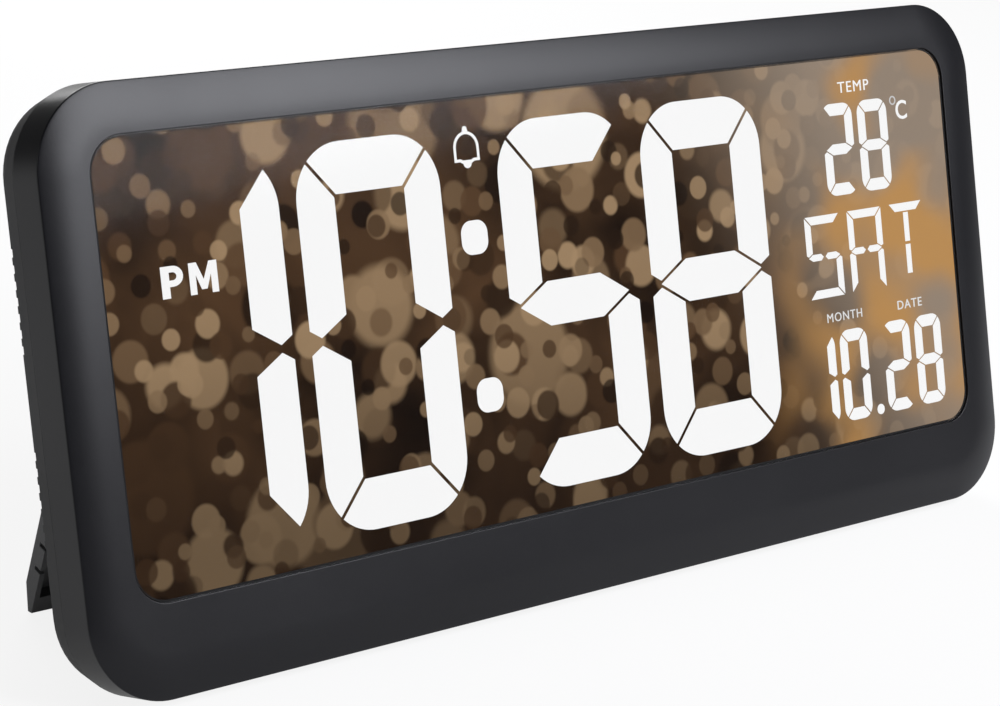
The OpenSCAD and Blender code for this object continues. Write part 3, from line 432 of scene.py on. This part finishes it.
def softened(node, name, width, material):
    """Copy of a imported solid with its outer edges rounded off."""
    bm = bmesh.new()
    bm.from_mesh(solids[node].data)
    bmesh.ops.remove_doubles(bm, verts=bm.verts, dist=SAME_COPIED_POINT)
    bmesh.ops.dissolve_limit(bm, angle_limit=SAME_PLANE, verts=bm.verts, edges=bm.edges)
    bmesh.ops.recalc_face_normals(bm, faces=bm.faces)
    edges = [e for e in bm.edges if e.is_convex and e.calc_face_angle() > OUTER_EDGE]
    bmesh.ops.bevel(bm, geom=edges, offset=width, offset_type="OFFSET", segments=2, profile=0.5,
                    affect="EDGES", miter_outer="ARC")
    return finished(bm, name, Matrix.Identity(4), material, CURVE_STEP, FLAT_FACE)


def stands_for(piece, body, slot, *nodes):
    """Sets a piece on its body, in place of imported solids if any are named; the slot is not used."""
    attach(piece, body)
    if nodes:
        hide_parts(*nodes)


def paint(material, *nodes):
    """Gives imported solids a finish."""
    for node in nodes:
        mesh = solids[node].data
        mesh.materials.clear()
        mesh.materials.append(material)


def lettering(text, spacing=1.0, weight=0.0):
    """A word as a flat bmesh, one unit thick, its letters set apart and thickened as asked."""
    curve = bpy.data.curves.new("word", "FONT")
    curve.body = text
    curve.space_character = spacing
    curve.offset = weight
    curve.extrude = 0.5
    curve.resolution_u = 4
    holder = bpy.data.objects.new("word", curve)
    bpy.context.scene.collection.objects.link(holder)
    seen = holder.evaluated_get(bpy.context.evaluated_depsgraph_get())
    mesh = bpy.data.meshes.new_from_object(seen)
    bpy.data.objects.remove(holder)
    bpy.data.curves.remove(curve)
    bm = bmesh.new()
    bm.from_mesh(mesh)
    bpy.data.meshes.remove(mesh)
    return bm


def plate(loops):
    """Flat plate one unit thick between closed outlines, the first outside and the others its holes."""
    bm = bmesh.new()
    for loop in loops:
        corners = [bm.verts.new((x, y, -0.5)) for x, y in loop]
        for first, second in zip(corners, corners[1:] + corners[:1]):
            bm.edges.new((first, second))
    bmesh.ops.triangle_fill(bm, use_beauty=True, edges=bm.edges)
    grown = bmesh.ops.extrude_face_region(bm, geom=bm.faces[:])["geom"]
    bmesh.ops.translate(bm, vec=(0, 0, 1), verts=[v for v in grown if isinstance(v, bmesh.types.BMVert)])
    return bm


def bow(centre, radius, start, end, steps=12):
    """Points round part of a circle."""
    turn = [math.radians(start + (end - start) * i / steps) for i in range(steps + 1)]
    return [(centre[0] + radius * math.cos(a), centre[1] + radius * math.sin(a)) for a in turn]


P_OUTLINE = ([(0, 0), (0.25, 0), (0.25, 0.35)] + bow((0.365, 0.675), 0.325, -90, 90) + [(0, 1)],
             [(0.25, 0.55), (0.25, 0.80)] + bow((0.365, 0.675), 0.125, 90, -90))
M_OUTLINE = ([(0, 0), (0.24, 0), (0.24, 0.62), (0.43, 0.14), (0.63, 0.14), (0.82, 0.62), (0.82, 0), (1.06, 0),
              (1.06, 1), (0.77, 1), (0.53, 0.44), (0.29, 1), (0, 1)],)


def fitted(bm, low, high, near, far, mirrored=False):
    """Scales a flat word into a box of the clock's plane."""
    xs = [v.co.x for v in bm.verts]
    ys = [v.co.y for v in bm.verts]
    for v in bm.verts:
        u = (v.co.x - min(xs)) / (max(xs) - min(xs))
        u = 1 - u if mirrored else u
        w = (v.co.y - min(ys)) / (max(ys) - min(ys))
        v.co = (low[0] + u * (high[0] - low[0]), low[1] + w * (high[1] - low[1]),
                near if v.co.z < 0 else far)
    return bm


# Steps that build the clock
class ClockOperator(bpy.types.Operator):
    """Shared by the steps that build the clock."""

    bl_options = {"REGISTER", "UNDO"}


class CLOCK_OT_front_frame(ClockOperator):
    """Build the front frame with its rounded border, crease, window rim and ledge"""

    bl_idname = "clock.front_frame"
    bl_label = "Front frame"

    def execute(self, context):
        s = context.scene.clock_sizes
        n = s.corner_steps
        half = (s.window_width / 2, s.window_height / 2)
        case = (s.case_width / 2, s.case_height / 2)

        def window(grow, depth):
            return ring(half[0] + grow, half[1] + grow, s.window_middle, s.window_round + grow, depth, n)

        def border(inset, depth):
            return ring(case[0] - inset, case[1] - inset, case[1], s.case_round - inset, depth, n)

        w = s.pillow_width
        d = s.pillow_drop
        big = (w * w + d * d) / (2 * d)
        r = s.crease_round
        lean = math.degrees(math.asin((w - r) / (big - r)))
        deep = big - (big - r) * math.cos(math.radians(lean))
        rings = [window(-s.ledge_width, s.ledge_back), window(-s.ledge_width, s.ledge_front)]
        rings += [window(0, s.ledge_front), window(0, 2 * s.rim_round)]
        rim = arc((s.rim_round, s.rim_round), s.rim_round, -90, 0, 5)
        rings += [window(reach, depth) for reach, depth in rim]
        rings += [window(2 * s.rim_round, 0), border(w + s.rim_round, 0)]
        rings += [border(w - reach, depth) for reach, depth in arc((0, big), big, 0, lean, 16)]
        rings += [border(w - reach, depth) for reach, depth in arc((w - r, deep), r, lean, 90, 7)[1:]]
        rings += [border(0, deep + r), border(0, s.front_depth - 2 * s.seam_round)]
        seam = arc((-s.seam_round, s.front_depth - s.seam_round), s.seam_round, 90, 180, 4)
        rings += [border(-reach, depth) for reach, depth in seam]
        rings += [border(s.wall, s.front_depth), border(s.wall, s.ledge_back)]
        look = moulded_plastic("charcoal plastic, front", context.scene.clock_colours.front, 0.27, 0.26)
        piece = finished(skin(rings, True), "front_moulding", standing(s), look, OUTER_EDGE)
        stands_for(piece, "case", "case_front", "front_frame")
        return {"FINISHED"}


class CLOCK_OT_rear_cover(ClockOperator):
    """Build the rear cover with its moulded edges rounded"""

    bl_idname = "clock.rear_cover"
    bl_label = "Rear cover"

    def execute(self, context):
        look = moulded_plastic("charcoal plastic, rear", context.scene.clock_colours.rear, 0.56, 0.25, 1100.0,
                               0.00005)
        piece = softened("rear_cover", "rear_moulding", context.scene.clock_sizes.moulded_edge, look)
        stands_for(piece, "case", "case_rear", "rear_cover")
        return {"FINISHED"}


class CLOCK_OT_legs(ClockOperator):
    """Build the two fold-out legs"""

    bl_idname = "clock.legs"
    bl_label = "Legs"

    def execute(self, context):
        # Painted light: this leg plastic is lighter than the case's, to stand in for light falling on the
        # legs
        look = moulded_plastic("charcoal plastic, legs, painted lighter", context.scene.clock_colours.leg, 0.52, 0.25, 1300.0,
                               0.00004)
        for node in ("leg_left", "leg_right"):
            piece = softened(node, node + "_moulding", context.scene.clock_sizes.leg_edge, look)
            stands_for(piece, node, "leg", node)
        return {"FINISHED"}


class CLOCK_OT_battery_door(ClockOperator):
    """Build the battery door"""

    bl_idname = "clock.battery_door"
    bl_label = "Battery door"

    def execute(self, context):
        look = moulded_plastic("charcoal plastic, door", context.scene.clock_colours.rear, 0.54, 0.25, 1100.0,
                               0.00005)
        piece = softened("battery_door", "door_moulding", context.scene.clock_sizes.moulded_edge, look)
        stands_for(piece, "battery_door", "case_rear", "battery_door")
        return {"FINISHED"}


class CLOCK_OT_keys(ClockOperator):
    """Build the six keys with their flanges, rounded edges and hollow tops"""

    bl_idname = "clock.keys"
    bl_label = "Keys"

    def execute(self, context):
        s = context.scene.clock_sizes
        look = moulded_plastic("soft key plastic", context.scene.clock_colours.key, 0.48, 0.35, 1800.0,
                               0.00002)
        w = s.key_width / 2
        h = s.key_height / 2
        flange = s.key_foot + s.key_flange
        profile = [(-s.key_flange, s.key_foot), (-s.key_flange, flange), (0, flange),
                   (0, s.key_top - 2 * s.key_edge)]
        edge = s.key_edge
        for angle in range(0, 91, 15):
            turn = math.radians(angle)
            profile.append((edge - edge * math.cos(turn), s.key_top - edge + edge * math.sin(turn)))
        dish = h * KEY_DISH_REACH - edge
        for share in (0.2, 0.4, 0.6, 0.8, 1.0):
            profile.append((edge + share * dish, s.key_top - s.key_dish * (1 - (1 - share) ** 2)))
        for node in KEYS:
            low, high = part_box(node)
            x = (low.x + high.x) / 2
            rings = [ring(w - inset, h - inset, s.key_level, h - inset, depth, 10)
                     for inset, depth in profile]
            bm = skin(rings, False)
            bmesh.ops.translate(bm, vec=(x, 0, 0), verts=bm.verts)
            piece = finished(bm, node + "_cap", standing(s), look, OUTER_EDGE)
            stands_for(piece, node, "key", node)
        return {"FINISHED"}


class CLOCK_OT_screws(ClockOperator):
    """Set the six case screws, with cross recesses, by Geometry Nodes"""

    bl_idname = "clock.screws"
    bl_label = "Case screws"

    def execute(self, context):
        s = context.scene.clock_sizes
        steel = plain_part("blackened steel", (0.10, 0.10, 0.105, 1), (0.17, 0.17, 0.175, 1), 0.38, 1500.0,
                           metal=1.0)
        model = self.screw()
        points = bpy.data.meshes.new("screw places")
        side = s.case_width / 2 - s.screw_side
        rows = (s.screw_edge, s.case_height - s.screw_edge)
        points.from_pydata([(x, y, s.screw_seat) for x in (-side, 0.0, side) for y in rows], [], [])
        piece = bpy.data.objects.new("case_screw_set", points)
        context.scene.collection.objects.link(piece)
        tree, names = self.tree()
        setter = piece.modifiers.new("Screws", "NODES")
        setter.node_group = tree
        setter[names["Screw"]] = model
        setter[names["Scale"]] = 1.0
        setter[names["Finish"]] = steel
        seen = piece.evaluated_get(context.evaluated_depsgraph_get())
        mesh = bpy.data.meshes.new_from_object(seen)
        piece.modifiers.remove(setter)
        bpy.data.objects.remove(model)
        bpy.data.objects.remove(piece)
        bm = bmesh.new()
        bm.from_mesh(mesh)
        piece = finished(bm, "case_screw_set", standing(s), steel, math.radians(35))
        stands_for(piece, "case", "steel", "case_screws")
        return {"FINISHED"}

    def screw(self):
        """Pan-head screw along the depth, seat at zero: turned profile, then a cross cut into the head."""
        profile = [(0.0, -0.0085), (0.0006, -0.0085), (0.0011, -0.0075), (0.0011, 0.0), (0.0027, 0.0),
                   (0.0029, 0.0003), (0.0029, 0.0009), (0.0026, 0.0014), (0.0020, 0.0018), (0.0010, 0.00198),
                   (0.0, 0.002)]
        bm = bmesh.new()
        turned = [math.radians(angle) for angle in range(0, 360, 15)]
        rows = []
        for radius, height in profile:
            rows.append([bm.verts.new((radius * math.cos(a), radius * math.sin(a), height)) for a in turned])
        for low, high in zip(rows, rows[1:]):
            for i in range(len(turned)):
                bm.faces.new((low[i], low[i - 1], high[i - 1], high[i]))
        bmesh.ops.remove_doubles(bm, verts=bm.verts, dist=SAME_TURNED_POINT)
        bmesh.ops.recalc_face_normals(bm, faces=bm.faces)
        model = self.scratch("screw", bm)
        reach, slit, depth, middle, point = 0.0032, 0.0007, 0.0018, 0.0016, 0.55
        cross = bmesh.new()
        for angle in (0, 90):
            arm = bmesh.ops.create_cube(cross, size=1.0)["verts"]
            for v in arm:
                taper = 1.0 if v.co.z > 0 else point
                v.co = (v.co.x * reach * taper, v.co.y * slit * taper, middle + v.co.z * depth)
            turn = Matrix.Rotation(math.radians(angle), 3, "Z")
            bmesh.ops.rotate(cross, verts=arm, cent=(0, 0, 0), matrix=turn)
        bmesh.ops.recalc_face_normals(cross, faces=cross.faces)
        cutter = self.scratch("cross", cross)
        cut = model.modifiers.new("Cross", "BOOLEAN")
        cut.object = cutter
        cut.operation = "DIFFERENCE"
        cut.solver = "EXACT"
        cut.use_self = True
        mesh = bpy.data.meshes.new_from_object(model.evaluated_get(bpy.context.evaluated_depsgraph_get()))
        model.modifiers.remove(cut)
        model.data = mesh
        bpy.data.objects.remove(cutter)
        return model

    def scratch(self, name, bm):
        mesh = bpy.data.meshes.new(name)
        bm.to_mesh(mesh)
        bm.free()
        item = bpy.data.objects.new(name, mesh)
        bpy.context.scene.collection.objects.link(item)
        return item

    def tree(self):
        """Puts the screw on every point of the mesh, makes it real and gives it its finish."""
        tree = bpy.data.node_groups.new("Screws on points", "GeometryNodeTree")
        face = tree.interface
        face.new_socket("Geometry", in_out="INPUT", socket_type="NodeSocketGeometry")
        names = {}
        for name, kind in (("Screw", "NodeSocketObject"), ("Scale", "NodeSocketFloat"),
                           ("Finish", "NodeSocketMaterial")):
            names[name] = face.new_socket(name, in_out="INPUT", socket_type=kind).identifier
        face.new_socket("Geometry", in_out="OUTPUT", socket_type="NodeSocketGeometry")
        made = {}
        for key, kind in (("in", "NodeGroupInput"), ("out", "NodeGroupOutput"),
                          ("object", "GeometryNodeObjectInfo"), ("set", "GeometryNodeInstanceOnPoints"),
                          ("real", "GeometryNodeRealizeInstances"), ("finish", "GeometryNodeSetMaterial")):
            made[key] = tree.nodes.new(kind)
        link = tree.links.new
        link(made["in"].outputs["Screw"], made["object"].inputs["Object"])
        link(made["in"].outputs["Geometry"], made["set"].inputs["Points"])
        link(made["object"].outputs["Geometry"], made["set"].inputs["Instance"])
        link(made["in"].outputs["Scale"], made["set"].inputs["Scale"])
        link(made["set"].outputs["Instances"], made["real"].inputs["Geometry"])
        link(made["real"].outputs["Geometry"], made["finish"].inputs["Geometry"])
        link(made["in"].outputs["Finish"], made["finish"].inputs["Material"])
        link(made["finish"].outputs["Geometry"], made["out"].inputs["Geometry"])
        return tree, names


class CLOCK_OT_display(ClockOperator):
    """Finish the lens, the film and the lit marks, and add the lit captions"""

    bl_idname = "clock.display"
    bl_label = "Display"

    def execute(self, context):
        s = context.scene.clock_sizes
        look = context.scene.clock_colours
        lit = glow("lit mark", look.lit)
        paint(lit, "time_segments", "colon_dots", "temperature_segments", "weekday_segments", "date_segments",
              "bell_mark")
        paint(clear_lens("clear panel"), "window_lens")
        paint(backlit_film("backlit film", look, s), "background_film")
        paint(plain_part("black foam tape", (0.004, 0.004, 0.004, 1), (0.010, 0.010, 0.010, 1), 0.8,
                         shine=0.2), "lens_tape")
        dim = glow("dim lit mark", shade(look.lit, 0.80))
        # Each box holds left, low, right and high, from the window's middle
        for name, form, box, finish in (
                ("caption_p", plate(P_OUTLINE), (-0.1509, 0.0178, -0.1437, 0.0265), lit),
                ("caption_m", plate(M_OUTLINE), (-0.1417, 0.0178, -0.1324, 0.0265), lit),
                ("caption_temp", lettering("TEMP", 1.15), (0.1194, 0.0512, 0.1342, 0.0547), lit),
                ("caption_celsius", lettering("C", 1.0, 0.012), (0.1464, 0.0402, 0.1518, 0.0465), lit),
                ("caption_month", lettering("MONTH", 1.15), (0.1051, -0.0223, 0.1217, -0.0194), dim),
                ("caption_date", lettering("DATE", 1.15, 0.006), (0.1392, -0.0223, 0.1512, -0.0194), dim)):
            bm = fitted(form, (box[0], box[1] + s.window_middle), (box[2], box[3] + s.window_middle),
                        s.lit_depth, s.lit_depth + s.lit_thick)
            stands_for(finished(bm, name, standing(s), finish), "case", "lit")
        self.degree_ring(s, glow("faint lit mark", shade(look.lit, 0.62)))
        return {"FINISHED"}

    def degree_ring(self, s, finish):
        """Small ring before the C."""
        outer, inner = 0.0015, 0.00105
        across, up = 0.1452, 0.0467 + s.window_middle
        rings = []
        for radius, depth in ((outer, 0.0), (outer, s.lit_thick), (inner, s.lit_thick), (inner, 0.0)):
            turn = [math.radians(angle) for angle in range(0, 360, 12)]
            rings.append([(across + radius * math.cos(a), up + radius * math.sin(a), s.lit_depth + depth)
                          for a in turn])
        stands_for(finished(skin(rings, True), "caption_degree", standing(s), finish), "case", "lit")


class CLOCK_OT_words(ClockOperator):
    """Add the small raised words beside the keys and the socket"""

    bl_idname = "clock.words"
    bl_label = "Raised words"

    def execute(self, context):
        s = context.scene.clock_sizes
        look = moulded_plastic("raised words", shade(context.scene.clock_colours.rear, 2.2), 0.5, 0.3, 1800.0)
        back = s.front_depth + s.rear_depth
        sunk = back - 0.00005
        under_key = 0.0075
        words = []
        for node, text in (("key_mode", "MODE"), ("key_set", "SET"), ("key_up", "UP"), ("key_down", "DOWN"),
                           ("key_alarm", "ALARM"), ("key_light", "LIGHT")):
            low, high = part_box(node)
            words.append((text, (low.x + high.x) / 2, s.key_level - under_key))
        words.append(("DC 5V", 0.080, 0.0535))
        for text, x, y in words:
            bm = lettering(text)
            xs = [v.co.x for v in bm.verts]
            ys = [v.co.y for v in bm.verts]
            half = s.word_height * (max(xs) - min(xs)) / (max(ys) - min(ys)) / 2
            bm = fitted(bm, (x - half, y - s.word_height / 2), (x + half, y + s.word_height / 2),
                        sunk, back + s.word_raise, True)
            name = "word_" + text.lower().replace(" ", "_")
            stands_for(finished(bm, name, standing(s), look), "case", "case_rear")
        return {"FINISHED"}


class CLOCK_OT_inner_parts(ClockOperator):
    """Finish the display stack, the boards and what stands on them"""

    bl_idname = "clock.inner_parts"
    bl_label = "Inner parts"

    def execute(self, context):
        glass = plain_part("cell glass", (0.030, 0.034, 0.034, 1), (0.042, 0.046, 0.045, 1), 0.12, 300.0)
        paint(glass, "lcd_front_glass", "lcd_rear_glass")
        paint(plain_part("white sheet", (0.70, 0.70, 0.69, 1), (0.78, 0.78, 0.77, 1), 0.6), "diffuser_sheet",
              "reflector_sheet")
        paint(plain_part("light guide", (0.60, 0.63, 0.64, 1), (0.72, 0.74, 0.75, 1), 0.12, 420.0),
              "light_guide")
        paint(moulded_plastic("tray plastic", (0.55, 0.55, 0.53, 1), 0.5, 0.4), "backlight_tray")
        paint(printed_board("strip board", (0.55, 0.55, 0.52, 1), (0.60, 0.45, 0.25, 1)), "led_strips")
        paint(plain_part("LED phosphor", (0.70, 0.55, 0.12, 1), (0.80, 0.68, 0.25, 1), 0.4, 1600.0),
              "led_chips")
        paint(plain_part("wire sleeve", (0.35, 0.02, 0.02, 1), (0.45, 0.04, 0.03, 1), 0.45, 700.0),
              "led_leads")
        paint(printed_board("green board", (0.010, 0.075, 0.030, 1), (0.50, 0.40, 0.28, 1)), "main_board",
              "key_board")
        paint(plain_part("black moulding", (0.012, 0.012, 0.013, 1), (0.022, 0.022, 0.023, 1), 0.55),
              "controller_chip", "buzzer", "temperature_sensor", "coin_holder")
        paint(plain_part("brushed steel", (0.42, 0.42, 0.43, 1), (0.58, 0.58, 0.59, 1), 0.32, 2600.0, 1.0,
                         stretch=(0.08, 1, 1)),
              "crystal_can", "coin_cell", "socket_shell", "door_screw", "tray_screws", "board_screws",
              "key_board_screws")
        paint(ribbed("capacitor sleeve", (0.015, 0.020, 0.060, 1), (0.020, 0.028, 0.085, 1), 0.004),
              "filter_capacitor")
        paint(plain_part("ivory moulding", (0.62, 0.58, 0.47, 1), (0.70, 0.66, 0.55, 1), 0.5),
              "lcd_connector", "socket_tongue")
        paint(ribbed("amber ribbon", (0.30, 0.13, 0.02, 1), (0.45, 0.22, 0.05, 1), 0.001), "ribbon_cable",
              "key_cable")
        paint(plain_part("switch body", (0.020, 0.020, 0.021, 1), (0.035, 0.035, 0.036, 1), 0.5),
              "tact_switches")
        return {"FINISHED"}


class CLOCK_OT_stage(ClockOperator):
    """Set the floor, the light and the camera"""

    bl_idname = "clock.stage"
    bl_label = "Stage"

    def execute(self, context):
        scene = context.scene
        stage = scene.clock_stage
        scene.view_settings.view_transform = "Standard"
        mesh = bpy.data.meshes.new("floor")
        corners = ((-1, -1), (1, -1), (1, 1), (-1, 1))
        mesh.from_pydata([(x * FLOOR_HALF, y * FLOOR_HALF, 0) for x, y in corners], [], [(0, 1, 2, 3)])
        floor = bpy.data.objects.new("floor", mesh)
        scene.collection.objects.link(floor)
        mesh.materials.append(self.floor_finish(stage.floor))
        self.room(scene, stage.room)
        self.lamp("soft box", (0.523, -0.964, 0.788), (0.0, 0.0, 0.09), (0.87, 0.96), stage.soft_box,
                  (0.93, 0.94, 1.0))
        self.lamp("side strip", (-1.40, 0.25, 0.45), (-0.18, 0.0, 0.08), (0.35, 0.70), stage.side_strip)
        self.lamp("back fill", (0.5, 1.2, 0.9), (0.0, 0.0, 0.08), (0.8, 0.8), stage.back_fill)
        camera = bpy.data.cameras.new("camera")
        camera.sensor_width = 36.0
        camera.lens = stage.lens
        camera.clip_start = 0.01
        view = bpy.data.objects.new("camera", camera)
        view.location = stage.eye
        view.rotation_euler = stage.aim
        scene.collection.objects.link(view)
        scene.camera = view
        return {"FINISHED"}

    def floor_finish(self, rgba):
        """Pale matt floor that the camera sees as white paper, with the shadow left on it."""
        p = new_paint("pale floor")
        tone = p.mix(p.noise(3.0, 2.0), shade(rgba, 0.99), shade(rgba, 1.0))
        matt = p.add("ShaderNodeBsdfDiffuse", None, {"Color": tone})
        white = p.add("ShaderNodeEmission", None, {"Color": (1, 1, 1, 1), "Strength": 1.0})
        rays = p.add("ShaderNodeLightPath", output="Is Camera Ray")
        mirrored = rays.maths("MAXIMUM", rays.out("Is Glossy Ray"), rays.out("Is Transmission Ray"))
        share = rays * FLOOR_SEEN + mirrored * FLOOR_MIRRORED
        return p.shown(p.add("ShaderNodeMixShader", None, {0: share, 1: matt, 2: white}))

    def room(self, scene, strength):
        """Soft even light from all round, which the camera sees as white paper past the floor's edge."""
        p = Paint(bpy.data.worlds.new("room"))
        rays = p.add("ShaderNodeLightPath", output="Is Camera Ray")
        mirrored = rays.out("Is Glossy Ray") + rays.out("Is Transmission Ray")
        level = strength + (ROOM_SEEN - strength) * rays + ROOM_MIRRORED * mirrored
        light = p.add("ShaderNodeBackground", None, {"Color": (1, 1, 1, 1), "Strength": level})
        scene.world = p.shown(light, "ShaderNodeOutputWorld")

    def lamp(self, name, place, target, size, watts, tint=(1.0, 1.0, 1.0)):
        """Soft rectangular lamp that faces a point."""
        light = bpy.data.lights.new(name, "AREA")
        light.color = tint
        light.shape = "RECTANGLE"
        light.size, light.size_y = size
        light.energy = watts
        holder = bpy.data.objects.new(name, light)
        holder.location = place
        holder.rotation_euler = (Vector(target) - Vector(place)).to_track_quat("-Z", "Y").to_euler()
        bpy.context.scene.collection.objects.link(holder)


# Panel and registration
STEPS = (CLOCK_OT_front_frame, CLOCK_OT_rear_cover, CLOCK_OT_legs, CLOCK_OT_battery_door, CLOCK_OT_keys,
         CLOCK_OT_screws, CLOCK_OT_display, CLOCK_OT_words, CLOCK_OT_inner_parts, CLOCK_OT_stage)


class CLOCK_PT_panel(bpy.types.Panel):
    """Lists the steps, sizes and colours of the clock"""

    bl_label = "Digital wall clock"
    bl_idname = "CLOCK_PT_panel"
    bl_space_type = "VIEW_3D"
    bl_region_type = "UI"
    bl_category = "Clock"

    def draw(self, context):
        column = self.layout.column()
        for step in STEPS:
            column.operator(step.bl_idname)
        for group in (context.scene.clock_sizes, context.scene.clock_colours, context.scene.clock_stage):
            box = column.box()
            for name in group.__annotations__:
                box.prop(group, name)


GROUPS = (("clock_sizes", ClockSizes), ("clock_colours", ClockColours), ("clock_stage", ClockStage))


def register():
    for name, group in GROUPS:
        bpy.utils.register_class(group)
        setattr(bpy.types.Scene, name, PointerProperty(type=group))
    for item in STEPS + (CLOCK_PT_panel,):
        bpy.utils.register_class(item)


def unregister():
    for item in (CLOCK_PT_panel,) + STEPS[::-1]:
        bpy.utils.unregister_class(item)
    for name, group in GROUPS[::-1]:
        delattr(bpy.types.Scene, name)
        bpy.utils.unregister_class(group)


def main():
    register()
    for step in STEPS:
        family, name = step.bl_idname.split(".")
        getattr(getattr(bpy.ops, family), name)()


if __name__ == "__main__":
    main()
